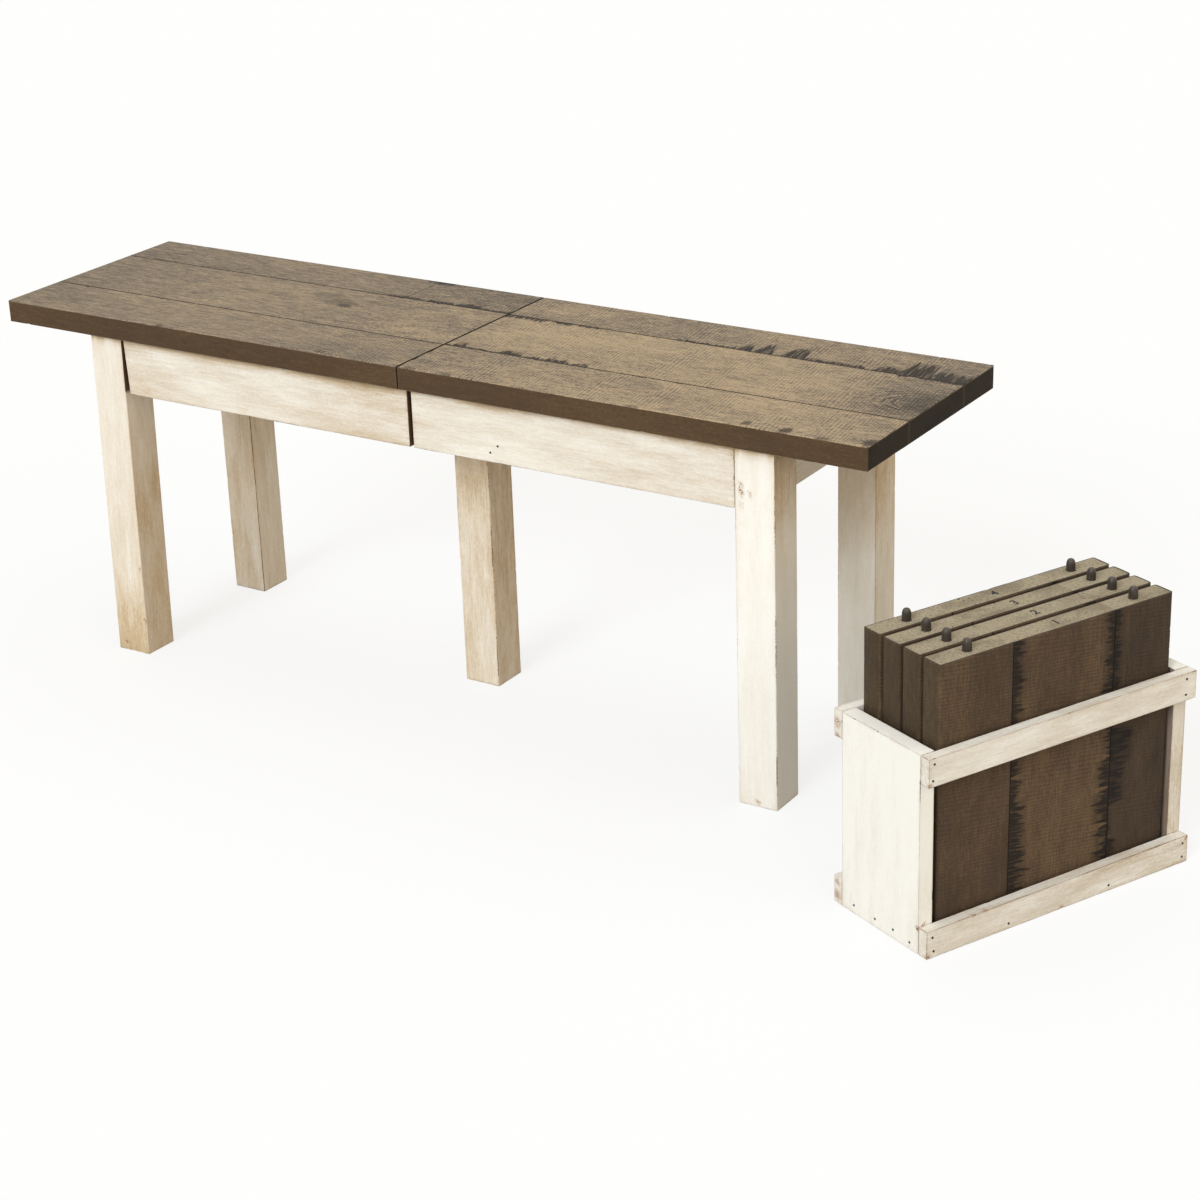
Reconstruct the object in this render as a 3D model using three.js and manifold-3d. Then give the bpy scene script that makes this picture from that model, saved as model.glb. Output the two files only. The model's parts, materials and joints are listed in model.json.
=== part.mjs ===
// Extension bench with stored leaves. The plank seat is split at mid length. Each half stands
// on its own painted half frame, and the halves draw apart on dovetailed wooden slides that a
// centre leg carries. Four loose leaves fill the opening, and wait in a slatted crate.
//
// Millimetres. X runs along the bench, Y to its back, Z up. The origin is the middle of the
// centre leg's foot, on the floor.
import * as THREE from 'three';
import { mergeVertices } from 'three/addons/utils/BufferGeometryUtils.js';
import Module from 'manifold-3d';

const wasm = await Module();
wasm.setup();

// Driving dimensions of the bench.
const seatLength = 1220;
const seatDepth = 312;
const seatHeight = 460;
const boardThickness = 28;
const frontBoardWidth = 95.5;
const backBoardWidth = 80;
const endOverhang = 118;
const sideOverhang = 11;
const legSize = 50;
const apronHeight = 73;
const apronThickness = 19;
const endApronInset = 25;
const leftFrontLean = 8;

// Centre leg, from the middle of the bench.
const centreLegX = -5;
const centreLegY = 13;

// Gaps and clearances.
const seatGap = 0.3;
const boardGap = 0.4;
const splitGap = 2;
const apronSplitGap = 5.3;
const apronSplitX = 7.3;
const leftShoulderTopGap = 3;
const leftShoulderBottomGap = 8;
const overrun = 2;

// Eased edges.
const seatEdgeEase = 2;
const leafEdgeEase = 1.4;
const seamEase = 0.8;
const legEase = 1.5;
const apronEase = 1.2;
const slatEase = 1;

// Slides. The rails fill the room between the corner braces, lengthways, and from each apron
// to the open middle, crossways. The centre rail is given as a share of a side rail.
const railHeight = 40;
const railBraceGap = 6.7;
const railApronGap = 6;
const railGap = 0.5;
const openMiddleHalf = 22;
const sideRailCount = 4;
const centreRailShare = 4 / 3;
const keyLength = 56;
const slideHeadroom = 3;
const tongueHeight = 7;
const tongueNeck = 12;
const tongueTip = 18;
const tongueClearance = 0.4;
const stopLength = 8;
const landEndLength = 120;
const landMiddleLength = 110;
const landMiddleInset = 30;

// Cross block that joins the two centre rails to the centre leg.
const blockHeight = 28;
const blockLength = 90;
const blockLandHeight = 4;
const blockOverhang = 10;
const legTenonSize = 24;
const legTenonLength = 18;

// Corner braces and their bolts.
const braceThickness = 20;
const braceHeight = 50;
const braceClearOfLeg = 8;
const boltRadius = 4;
const boltInLeg = 22;
const boltPastNut = 4;
const washerRadius = 9;
const washerThickness = 1.6;
const nutAcrossFlats = 13;
const nutThickness = 6.5;
const boltSides = 12;
const nutSides = 6;

// Pins that key leaves and seat halves to each other.
const pinRadius = 5;
const pinProud = 13;
const pinSeatDepth = 18;
const pinNoseLength = 6;
const pinNoseFlatRadius = 2;
const pinFrontInset = 46;
const pinBackInset = 44;
const pinSides = 16;
const pinNoseSteps = 4;
const socketClearance = 0.6;
const socketEndRoom = 4;

// Grooves along the glued seams of a leaf.
const seamGrooveWidth = 2;
const seamGrooveDepth = 1.2;

// Crate for the leaves.
const leafCount = 4;
const crateX = 789.5;
const crateY = -374.6;
const crateTurn = THREE.MathUtils.degToRad(65.16);
const crateEndThickness = 18.5;
const crateHeight = 226.5;
const slatHeight = 32;
const slatThickness = 13.5;
const crateBottomThickness = 10;
const leafLeftClearance = 7;
const leafRightClearance = 4;
const leafFrontClearance = 3.5;
const leafBackClearance = 0.8;
const leafGap = 3.9;

// Sizes that follow.
const halfLength = seatLength / 2;
const halfDepth = seatDepth / 2;
const undersideZ = seatHeight - boardThickness;
const frameTopZ = undersideZ - seatGap;
const legOuterX = halfLength - endOverhang;
const legOuterY = halfDepth - sideOverhang;
const apronInnerY = legOuterY - apronThickness;
const frontSeamY = -halfDepth + frontBoardWidth;
const backSeamY = halfDepth - backBoardWidth;
const frontPinY = -halfDepth + pinFrontInset;
const backPinY = halfDepth - pinBackInset;
const boardMiddleZ = undersideZ + boardThickness / 2;
const railTopZ = undersideZ - slideHeadroom;
const railBottomZ = railTopZ - railHeight;
const railMiddleZ = railTopZ - railHeight / 2;
const blockTopZ = railBottomZ - seatGap;
const centreLegTopZ = blockTopZ - blockHeight - seatGap;
const socketRadius = pinRadius + socketClearance;
const socketDepth = pinProud + socketEndRoom;
const leafRowDepth = leafCount * boardThickness + (leafCount - 1) * leafGap;
const crateDepth = leafFrontClearance + leafRowDepth + leafBackClearance;

// Corner braces lie on lines of equal u + v, measured inwards from the leg's outer faces.
const braceNearSum = 2 * legSize + braceClearOfLeg * Math.SQRT2;
const braceFarSum = braceNearSum + braceThickness * Math.SQRT2;
const braceMiddleZ = frameTopZ - apronHeight / 2;
const braceReach = braceFarSum - apronThickness - seatGap;

// A leaf is as long as one rail travels on the next, so that four of them fill the opening.
const railHalfLength = legOuterX - braceReach - railBraceGap;
const leafLength = railHalfLength - keyLength - stopLength / 2;
const railRoom = apronInnerY - railApronGap - openMiddleHalf - sideRailCount * railGap;
const railThickness = railRoom / (sideRailCount + centreRailShare);
const centreRailThickness = centreRailShare * railThickness;

const seatWood = { color: 0x6a5846, roughness: 0.72, metalness: 0 };
const leafWood = { color: 0x55463a, roughness: 0.74, metalness: 0 };
const pinWood = { color: 0x3f3832, roughness: 0.6, metalness: 0 };
const creamPaint = { color: 0xe4dcc8, roughness: 0.62, metalness: 0 };
const bareMaple = { color: 0xc9a878, roughness: 0.6, metalness: 0 };
const zincSteel = { color: 0xa9abad, roughness: 0.35, metalness: 1 };

// A solid from a closed three.js geometry.
function solidOf(geometry) {
  const bare = geometry.clone();
  bare.deleteAttribute('normal');
  bare.deleteAttribute('uv');
  const welded = mergeVertices(bare);
  const corners = welded.index.array;
  const kept = [];
  for (let i = 0; i < corners.length; i += 3) {
    const [a, b, c] = [corners[i], corners[i + 1], corners[i + 2]];
    if (a !== b && b !== c && c !== a) {
      kept.push(a, b, c);
    }
  }
  const vertProperties = new Float32Array(welded.attributes.position.array);
  const triVerts = new Uint32Array(kept);
  return new wasm.Manifold(new wasm.Mesh({ numProp: 3, vertProperties, triVerts }));
}

// A named mesh from a solid.
function pieceOf(name, solid, finish) {
  const mesh = solid.getMesh();
  const geometry = new THREE.BufferGeometry();
  const corners = new Float32Array(mesh.vertProperties);
  geometry.setAttribute('position', new THREE.BufferAttribute(corners, 3));
  geometry.setIndex(new THREE.BufferAttribute(new Uint32Array(mesh.triVerts), 1));
  geometry.computeVertexNormals();
  const piece = new THREE.Mesh(geometry, new THREE.MeshStandardMaterial(finish));
  piece.name = name;
  return piece;
}

// A closed outline through the given points.
function outline(points) {
  const shape = new THREE.Shape();
  shape.setFromPoints(points.map(([a, b]) => new THREE.Vector2(a, b)));
  return shape;
}

// A rectangle whose corners are rounded, by one radius on its low side and one on its high side.
function easedRectangle(a0, a1, b0, b1, lowEase, highEase) {
  const shape = new THREE.Shape();
  const quarter = Math.PI / 2;
  shape.moveTo(a0 + lowEase, b0);
  shape.lineTo(a1 - highEase, b0);
  shape.absarc(a1 - highEase, b0 + highEase, highEase, -quarter, 0, false);
  shape.absarc(a1 - highEase, b1 - highEase, highEase, 0, quarter, false);
  shape.absarc(a0 + lowEase, b1 - lowEase, lowEase, quarter, 2 * quarter, false);
  shape.absarc(a0 + lowEase, b0 + lowEase, lowEase, 2 * quarter, 3 * quarter, false);
  return shape;
}

function extrude(shape, depth) {
  const curveSegments = 3;
  return new THREE.ExtrudeGeometry(shape, { depth, bevelEnabled: false, curveSegments });
}

const xAxis = new THREE.Vector3(1, 0, 0);
const yAxis = new THREE.Vector3(0, 1, 0);
const zAxis = new THREE.Vector3(0, 0, 1);

// A (Y, Z) outline drawn along X.
function alongX(shape, x0, x1) {
  const geometry = extrude(shape, x1 - x0);
  geometry.applyMatrix4(new THREE.Matrix4().makeBasis(yAxis, zAxis, xAxis));
  return solidOf(geometry.translate(x0, 0, 0));
}

// An (X, Z) outline drawn along Y.
function alongY(shape, y0, y1) {
  const geometry = extrude(shape, y1 - y0);
  geometry.applyMatrix4(new THREE.Matrix4().makeBasis(xAxis, zAxis, yAxis.clone().negate()));
  return solidOf(geometry.translate(0, y1, 0));
}

// An (X, Y) outline drawn up Z.
function alongZ(shape, z0, z1) {
  return solidOf(extrude(shape, z1 - z0).translate(0, 0, z0));
}

// A plain block between two corners, given in any order.
function block(xs, ys, zs) {
  const low = new THREE.Vector3(Math.min(...xs), Math.min(...ys), Math.min(...zs));
  const high = new THREE.Vector3(Math.max(...xs), Math.max(...ys), Math.max(...zs));
  const size = high.clone().sub(low);
  const middle = high.clone().add(low).multiplyScalar(1 / 2);
  const geometry = new THREE.BoxGeometry(size.x, size.y, size.z);
  return solidOf(geometry.translate(middle.x, middle.y, middle.z));
}

// A rod along +X from x0 to x1 about a point of the YZ plane.
function rodAlongX(radius, sides, x0, x1, y, z) {
  const geometry = new THREE.CylinderGeometry(radius, radius, x1 - x0, sides);
  geometry.rotateZ(-Math.PI / 2);
  return solidOf(geometry.translate((x0 + x1) / 2, y, z));
}

// A rod up +Z from z0 to z1 about a point of the XY plane.
function rodAlongZ(radius, sides, x, y, z0, z1) {
  const geometry = new THREE.CylinderGeometry(radius, radius, z1 - z0, sides);
  geometry.rotateX(Math.PI / 2);
  return solidOf(geometry.translate(x, y, (z0 + z1) / 2));
}

// A board eased along its length on front and back edges, and across on left and right ends.
function easedBoard(x0, x1, y0, y1, z0, z1, ease) {
  const lengthways = alongX(easedRectangle(y0, y1, z0, z1, ease.front, ease.back), x0, x1);
  const crossways = alongY(easedRectangle(x0, x1, z0, z1, ease.left, ease.right), y0, y1);
  return lengthways.intersect(crossways);
}

// A bullet-nosed dowel pin that stands on the XY plane, its foot sunk below it.
function dowelPin() {
  const noseBase = pinProud - pinNoseLength;
  const profile = [new THREE.Vector2(0, -pinSeatDepth), new THREE.Vector2(pinRadius, -pinSeatDepth)];
  for (let step = 0; step <= pinNoseSteps; step += 1) {
    const turn = (Math.PI / 2) * (step / pinNoseSteps);
    const radius = pinNoseFlatRadius + (pinRadius - pinNoseFlatRadius) * Math.cos(turn);
    profile.push(new THREE.Vector2(radius, noseBase + pinNoseLength * Math.sin(turn)));
  }
  profile.push(new THREE.Vector2(0, pinProud));
  const geometry = new THREE.LatheGeometry(profile, pinSides);
  return geometry.rotateX(Math.PI / 2);
}

const bench = new THREE.Group();
bench.position.set(-centreLegX, -centreLegY, 0);

// Seat: three boards on each half, seams in line across the split.
const boardRows = [
  { row: 'front', y0: -halfDepth, y1: frontSeamY - boardGap / 2, pinAt: frontPinY },
  { row: 'middle', y0: frontSeamY + boardGap / 2, y1: backSeamY - boardGap / 2 },
  { row: 'back', y0: backSeamY + boardGap / 2, y1: halfDepth, pinAt: backPinY },
];

function seatBoard(side, place) {
  const meeting = splitGap / 2;
  const [x0, x1] = side === 'left' ? [-halfLength, -meeting] : [meeting, halfLength];
  const ease = {
    front: place.row === 'front' ? seatEdgeEase : seamEase,
    back: place.row === 'back' ? seatEdgeEase : seamEase,
    left: side === 'left' ? seatEdgeEase : seamEase,
    right: side === 'right' ? seatEdgeEase : seamEase,
  };
  const board = easedBoard(x0, x1, place.y0, place.y1, undersideZ, seatHeight, ease);
  if (place.pinAt === undefined) {
    return board;
  }
  if (side === 'left') {
    const socket = [-meeting - socketDepth, -meeting + overrun];
    return board.subtract(rodAlongX(socketRadius, pinSides, ...socket, place.pinAt, boardMiddleZ));
  }
  const seat = [meeting - overrun, meeting + pinSeatDepth + seatGap];
  return board.subtract(rodAlongX(pinRadius + seatGap, pinSides, ...seat, place.pinAt, boardMiddleZ));
}

for (const side of ['left', 'right']) {
  for (const place of boardRows) {
    bench.add(pieceOf(`${side}_${place.row}_board`, seatBoard(side, place), seatWood));
  }
}

for (const place of boardRows.filter((row) => row.pinAt !== undefined)) {
  const pin = dowelPin().rotateY(-Math.PI / 2);
  pin.translate(splitGap / 2, place.pinAt, boardMiddleZ);
  bench.add(pieceOf(`${place.row}_seat_pin`, solidOf(pin), pinWood));
}

// Corner frames. Places near a corner are measured inwards from the leg's two outer faces:
// u along the bench and v across it.
function cornerAt(sideSign, faceSign) {
  return (u, v) => [sideSign * (legOuterX - u), faceSign * (legOuterY - v)];
}

// A rod on the corner's diagonal, from one distance past the leg's inner edge to another.
function diagonalRod(radius, sides, from, to, sideSign, faceSign) {
  const [x, y] = cornerAt(sideSign, faceSign)(legSize, legSize);
  const heading = Math.atan2(-faceSign, -sideSign);
  const geometry = new THREE.CylinderGeometry(radius, radius, to - from, sides);
  geometry.rotateZ(-Math.PI / 2).translate((from + to) / 2, 0, 0).rotateZ(heading);
  return solidOf(geometry.translate(x, y, braceMiddleZ));
}

// Room for the corner bolt in whatever it passes.
function boltHole(from, to, sideSign, faceSign) {
  return diagonalRod(boltRadius + seatGap, boltSides, from, to, sideSign, faceSign);
}

// How far a leg's top leans inwards along the bench. Only the left front one does.
function leanOf(sideSign, faceSign) {
  return sideSign < 0 && faceSign < 0 ? leftFrontLean : 0;
}

// A leg's foot and top stay level, whether it leans or not.
function cornerLeg(sideSign, faceSign) {
  const corner = cornerAt(sideSign, faceSign);
  const [near, far] = [corner(0, 0), corner(legSize, legSize)];
  const xs = [near[0], far[0]].sort((a, b) => a - b);
  const ys = [near[1], far[1]].sort((a, b) => a - b);
  const slope = (-sideSign * leanOf(sideSign, faceSign)) / frameTopZ;
  const leaned = new THREE.Matrix4().makeShear(0, 0, 0, 0, slope, 0);
  const upright = alongZ(easedRectangle(...xs, ...ys, legEase, legEase), 0, frameTopZ);
  const hole = boltHole(-boltInLeg - seatGap, braceClearOfLeg, sideSign, faceSign);
  return upright.transform(leaned.elements).subtract(hole);
}

function cornerBrace(sideSign, faceSign) {
  const corner = cornerAt(sideSign, faceSign);
  const atEnd = endApronInset + apronThickness + seatGap;
  const atFace = apronThickness + seatGap;
  const section = outline([
    corner(atEnd, braceNearSum - atEnd),
    corner(atEnd, braceFarSum - atEnd),
    corner(braceFarSum - atFace, atFace),
    corner(braceNearSum - atFace, atFace),
  ]);
  const body = alongZ(section, braceMiddleZ - braceHeight / 2, braceMiddleZ + braceHeight / 2);
  const throughBrace = braceClearOfLeg + braceThickness + overrun;
  return body.subtract(boltHole(0, throughBrace, sideSign, faceSign));
}

function cornerBolt(sideSign, faceSign) {
  const braceFace = braceClearOfLeg + braceThickness + seatGap;
  const washerEnd = braceFace + washerThickness;
  const nutEnd = washerEnd + nutThickness;
  const nutRadius = nutAcrossFlats / Math.sqrt(3);
  const rod = diagonalRod(boltRadius, boltSides, -boltInLeg, nutEnd + boltPastNut, sideSign, faceSign);
  const washer = diagonalRod(washerRadius, boltSides, braceFace, washerEnd, sideSign, faceSign);
  const nut = diagonalRod(nutRadius, nutSides, washerEnd - seatGap, nutEnd, sideSign, faceSign);
  return rod.add(washer).add(nut);
}

// Front and back aprons run from the leg to the split, which lies a little to the right of the
// seat's. The left front one stands off its leaning leg, more so at its lower edge.
function longApron(side, face) {
  const sideSign = side === 'left' ? -1 : 1;
  const faceSign = face === 'front' ? -1 : 1;
  const loose = side === 'left' && face === 'front';
  const lean = leanOf(sideSign, faceSign);
  const splitX = apronSplitX + sideSign * (apronSplitGap / 2);
  const bottomZ = frameTopZ - apronHeight;
  const shoulderX = (z, gap) => sideSign * (legOuterX - legSize - (lean * z) / frameTopZ - gap);
  const topX = shoulderX(frameTopZ, loose ? leftShoulderTopGap : seatGap);
  const bottomX = shoulderX(bottomZ, loose ? leftShoulderBottomGap : seatGap);
  const shoulder = [[topX, frameTopZ], [bottomX, bottomZ]];
  const faceOutline = outline([...shoulder, [splitX, bottomZ], [splitX, frameTopZ]]);
  const ys = [faceSign * apronInnerY, faceSign * legOuterY].sort((a, b) => a - b);
  const xs = [topX, splitX].sort((a, b) => a - b);
  const eases = face === 'front' ? [apronEase, seamEase] : [seamEase, apronEase];
  const section = easedRectangle(...ys, bottomZ, frameTopZ, ...eases);
  return alongX(section, xs[0] - overrun, xs[1] + overrun).intersect(alongY(faceOutline, ...ys));
}

function endApron(sideSign) {
  const outerX = legOuterX - endApronInset;
  const xs = [sideSign * outerX, sideSign * (outerX - apronThickness)].sort((a, b) => a - b);
  const section = easedRectangle(...xs, frameTopZ - apronHeight, frameTopZ, apronEase, apronEase);
  const reach = legOuterY - legSize - seatGap;
  const board = alongY(section, -reach, reach);
  const holes = [-1, 1].map((faceSign) => boltHole(0, braceClearOfLeg, sideSign, faceSign));
  return board.subtract(holes[0]).subtract(holes[1]);
}

for (const [side, sideSign] of [['left', -1], ['right', 1]]) {
  for (const [face, faceSign] of [['front', -1], ['back', 1]]) {
    bench.add(pieceOf(`${side}_${face}_leg`, cornerLeg(sideSign, faceSign), creamPaint));
    bench.add(pieceOf(`${side}_${face}_apron`, longApron(side, face), creamPaint));
    bench.add(pieceOf(`${side}_${face}_corner_brace`, cornerBrace(sideSign, faceSign), bareMaple));
    bench.add(pieceOf(`${side}_${face}_corner_bolt`, cornerBolt(sideSign, faceSign), zincSteel));
  }
  bench.add(pieceOf(`${side}_end_apron`, endApron(sideSign), creamPaint));
}

// Slides. Rails stand side by side on edge. A dovetail tongue on one runs in a dovetail groove
// of the next. A stop block closes each groove at mid length. The tongue has a break that the
// stop lies in: its long part ends at the stop, and a short key at the far end meets the stop
// when the rail has travelled one leaf's length.
function tongueHalfHeight(distance) {
  return tongueNeck / 2 + ((tongueTip - tongueNeck) / 2) * (distance / tongueHeight);
}

// faceY is the rail's face and outward the way the tongue leaves it, +1 or -1. travelSign is
// the way this rail moves along X on its neighbour.
function tongue(faceY, outward, travelSign) {
  const section = outline([
    [faceY - outward * overrun, railMiddleZ - tongueHalfHeight(0)],
    [faceY, railMiddleZ - tongueHalfHeight(0)],
    [faceY + outward * tongueHeight, railMiddleZ - tongueHalfHeight(tongueHeight)],
    [faceY + outward * tongueHeight, railMiddleZ + tongueHalfHeight(tongueHeight)],
    [faceY, railMiddleZ + tongueHalfHeight(0)],
    [faceY - outward * overrun, railMiddleZ + tongueHalfHeight(0)],
  ]);
  const longPart = [travelSign * railHalfLength, travelSign * (stopLength / 2 + seatGap)];
  const key = [-travelSign * (railHalfLength - keyLength + seatGap), -travelSign * railHalfLength];
  const parts = [longPart, key].map((ends) => alongX(section, Math.min(...ends), Math.max(...ends)));
  return parts[0].add(parts[1]);
}

// The groove that a neighbour's tongue runs in. inward points from the rail's face into it.
function groove(faceY, inward) {
  const depth = tongueHeight - railGap + tongueClearance;
  const mouth = tongueHalfHeight(railGap) + tongueClearance;
  const floor = tongueHalfHeight(railGap + depth) + tongueClearance;
  const outside = tongueHalfHeight(railGap - overrun) + tongueClearance;
  const section = outline([
    [faceY - inward * overrun, railMiddleZ - outside],
    [faceY, railMiddleZ - mouth],
    [faceY + inward * depth, railMiddleZ - floor],
    [faceY + inward * depth, railMiddleZ + floor],
    [faceY, railMiddleZ + mouth],
    [faceY - inward * overrun, railMiddleZ + outside],
  ]);
  const left = alongX(section, -railHalfLength - overrun, -stopLength / 2);
  const right = alongX(section, stopLength / 2, railHalfLength + overrun);
  return left.add(right);
}

// Raised lands by which an outer rail meets the underside of its own seat half.
function lands(ys, sideSign) {
  const spans = [
    [railHalfLength - landEndLength, railHalfLength],
    [landMiddleInset, landMiddleInset + landMiddleLength],
  ];
  const zs = [railTopZ - overrun, undersideZ - seatGap];
  const [end, middle] = spans.map((span) => block(span.map((x) => sideSign * x), ys, zs));
  return end.add(middle);
}

// The rails of one set from the apron inwards. Tongues and grooves name the side they are on.
const railPlan = [
  { name: 'left_outer', thickness: railThickness, tongueOn: 'inner', travel: -1, landSide: -1 },
  { name: 'left_inner', thickness: railThickness, grooves: ['outer'], tongueOn: 'inner', travel: -1 },
  { name: 'centre', thickness: centreRailThickness, grooves: ['outer', 'inner'] },
  { name: 'right_inner', thickness: railThickness, grooves: ['inner'], tongueOn: 'outer', travel: 1 },
  { name: 'right_outer', thickness: railThickness, tongueOn: 'outer', travel: 1, landSide: 1 },
];

function slideRail(plan, outerY, faceSign) {
  const faces = { outer: faceSign * outerY, inner: faceSign * (outerY - plan.thickness) };
  const outward = { outer: faceSign, inner: -faceSign };
  const ys = [faces.outer, faces.inner];
  let rail = block([-railHalfLength, railHalfLength], ys, [railBottomZ, railTopZ]);
  for (const side of plan.grooves ?? []) {
    rail = rail.subtract(groove(faces[side], -outward[side]));
  }
  if (plan.tongueOn) {
    rail = rail.add(tongue(faces[plan.tongueOn], outward[plan.tongueOn], plan.travel));
  }
  if (plan.landSide) {
    rail = rail.add(lands(ys, plan.landSide));
  }
  return rail;
}

const centreRailFaces = {};
for (const [set, faceSign] of [['front', -1], ['back', 1]]) {
  let outerY = apronInnerY - railApronGap;
  for (const plan of railPlan) {
    bench.add(pieceOf(`${set}_${plan.name}_rail`, slideRail(plan, outerY, faceSign), bareMaple));
    if (plan.name === 'centre') {
      centreRailFaces.outer = outerY;
      centreRailFaces.inner = outerY - plan.thickness;
    }
    outerY -= plan.thickness + railGap;
  }
}

// Cross block: two lands carry the centre rails, and the leg's tenon enters it from below.
function crossBlock() {
  const reach = centreRailFaces.outer + blockOverhang;
  const lowZ = blockTopZ - blockHeight;
  const shelfZ = blockTopZ - blockLandHeight;
  const { outer, inner } = centreRailFaces;
  const section = outline([
    [-reach, lowZ], [reach, lowZ], [reach, shelfZ], [outer, shelfZ], [outer, blockTopZ],
    [inner, blockTopZ], [inner, shelfZ], [-inner, shelfZ], [-inner, blockTopZ],
    [-outer, blockTopZ], [-outer, shelfZ], [-reach, shelfZ],
  ]);
  const half = legTenonSize / 2 + seatGap;
  const mortise = block(
    [centreLegX - half, centreLegX + half],
    [centreLegY - half, centreLegY + half],
    [lowZ - overrun, centreLegTopZ + legTenonLength + seatGap]);
  return alongX(section, -blockLength / 2, blockLength / 2).subtract(mortise);
}
bench.add(pieceOf('cross_block', crossBlock(), bareMaple));

function centreLeg() {
  const half = legSize / 2;
  const tenonHalf = legTenonSize / 2;
  const post = alongZ(easedRectangle(-half, half, -half, half, legEase, legEase), 0, centreLegTopZ);
  const tenonZs = [centreLegTopZ - overrun, centreLegTopZ + legTenonLength];
  return post.add(block([-tenonHalf, tenonHalf], [-tenonHalf, tenonHalf], tenonZs));
}

// Crate, in its own frame: X along its front, Y to its back.
const crate = new THREE.Group();
crate.position.set(crateX, crateY, 0);
crate.rotation.z = crateTurn;

const leafWidth = seatDepth;
const crateRoom = leafLeftClearance + leafWidth + leafRightClearance;
const crateLength = crateRoom + 2 * crateEndThickness;
const frontSlatBack = slatThickness;
const backSlatFront = slatThickness + crateDepth;
const slatEases = { front: slatEase, back: slatEase, left: slatEase, right: slatEase };

for (const [side, x0] of [['left', 0], ['right', crateLength - crateEndThickness]]) {
  const ys = [frontSlatBack + seatGap, backSlatFront - seatGap];
  const end = easedBoard(x0, x0 + crateEndThickness, ...ys, 0, crateHeight, slatEases);
  crate.add(pieceOf(`crate_${side}_end`, end, creamPaint));
}

for (const [face, y0] of [['front', 0], ['back', backSlatFront]]) {
  for (const [level, z0] of [['bottom', 0], ['top', crateHeight - slatHeight]]) {
    const slat = easedBoard(0, crateLength, y0, y0 + slatThickness, z0, z0 + slatHeight, slatEases);
    crate.add(pieceOf(`crate_${face}_${level}_slat`, slat, creamPaint));
  }
}

const crateBottom = block(
  [crateEndThickness + seatGap, crateLength - crateEndThickness - seatGap],
  [frontSlatBack + seatGap, backSlatFront - seatGap],
  [0, crateBottomThickness]);
crate.add(pieceOf('crate_bottom_board', crateBottom, creamPaint));

// A leaf as it stands in the crate, in its own frame: X across the bench's boards, Z along
// them, pins up and sockets down, Y through its thickness from the face that shows.
function seamGroove(x, faceY, inward) {
  const half = seamGrooveWidth / 2;
  const slope = half / seamGrooveDepth;
  return outline([
    [x - half - slope * overrun, faceY - inward * overrun],
    [x + half + slope * overrun, faceY - inward * overrun],
    [x, faceY + inward * seamGrooveDepth],
  ]);
}

function leafPanel() {
  const ease = leafEdgeEase;
  const section = easedRectangle(0, leafWidth, 0, boardThickness, ease, ease);
  const sideOutline = easedRectangle(0, boardThickness, 0, leafLength, ease, ease);
  let panel = alongZ(section, 0, leafLength).intersect(alongX(sideOutline, 0, leafWidth));
  for (const x of [frontBoardWidth, leafWidth - backBoardWidth]) {
    for (const [faceY, inward] of [[0, 1], [boardThickness, -1]]) {
      panel = panel.subtract(alongZ(seamGroove(x, faceY, inward), -overrun, leafLength + overrun));
    }
  }
  for (const x of [pinFrontInset, leafWidth - pinBackInset]) {
    const middle = boardThickness / 2;
    const pinHole = [leafLength - pinSeatDepth - seatGap, leafLength + overrun];
    panel = panel.subtract(rodAlongZ(pinRadius + seatGap, pinSides, x, middle, ...pinHole));
    panel = panel.subtract(rodAlongZ(socketRadius, pinSides, x, middle, -overrun, socketDepth));
  }
  return panel;
}

for (let number = 1; number <= leafCount; number += 1) {
  const leaf = new THREE.Group();
  const stepBack = (number - 1) * (boardThickness + leafGap);
  leaf.position.x = crateEndThickness + leafLeftClearance;
  leaf.position.y = frontSlatBack + leafFrontClearance + stepBack;
  leaf.position.z = crateBottomThickness + seatGap;
  leaf.add(pieceOf(`leaf_${number}_panel`, leafPanel(), leafWood));
  const pinPlaces = [['left', pinFrontInset], ['right', leafWidth - pinBackInset]];
  for (const [side, x] of pinPlaces) {
    const pin = dowelPin().translate(x, boardThickness / 2, leafLength);
    leaf.add(pieceOf(`leaf_${number}_${side}_pin`, solidOf(pin), pinWood));
  }
  crate.add(leaf);
}

const model = new THREE.Group();
model.add(bench);
model.add(pieceOf('centre_leg', centreLeg(), creamPaint));
model.add(crate);

export default model;
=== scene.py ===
"""Finishes for an extension bench and its crate of leaves.

Every piece is a finer copy of a piece of the packed frame, with softened arrises, saw marks and
wear, in stained plank, cream paint, waxed maple or zinc-plated steel. The pins, bolts, brads and
leaf numbers are modelled here. Lengths are in metres.
"""
import json
import math
import random

import bmesh
import bpy
from bpy.props import FloatProperty, FloatVectorProperty, PointerProperty
from mathutils import Matrix, Vector, noise

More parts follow.
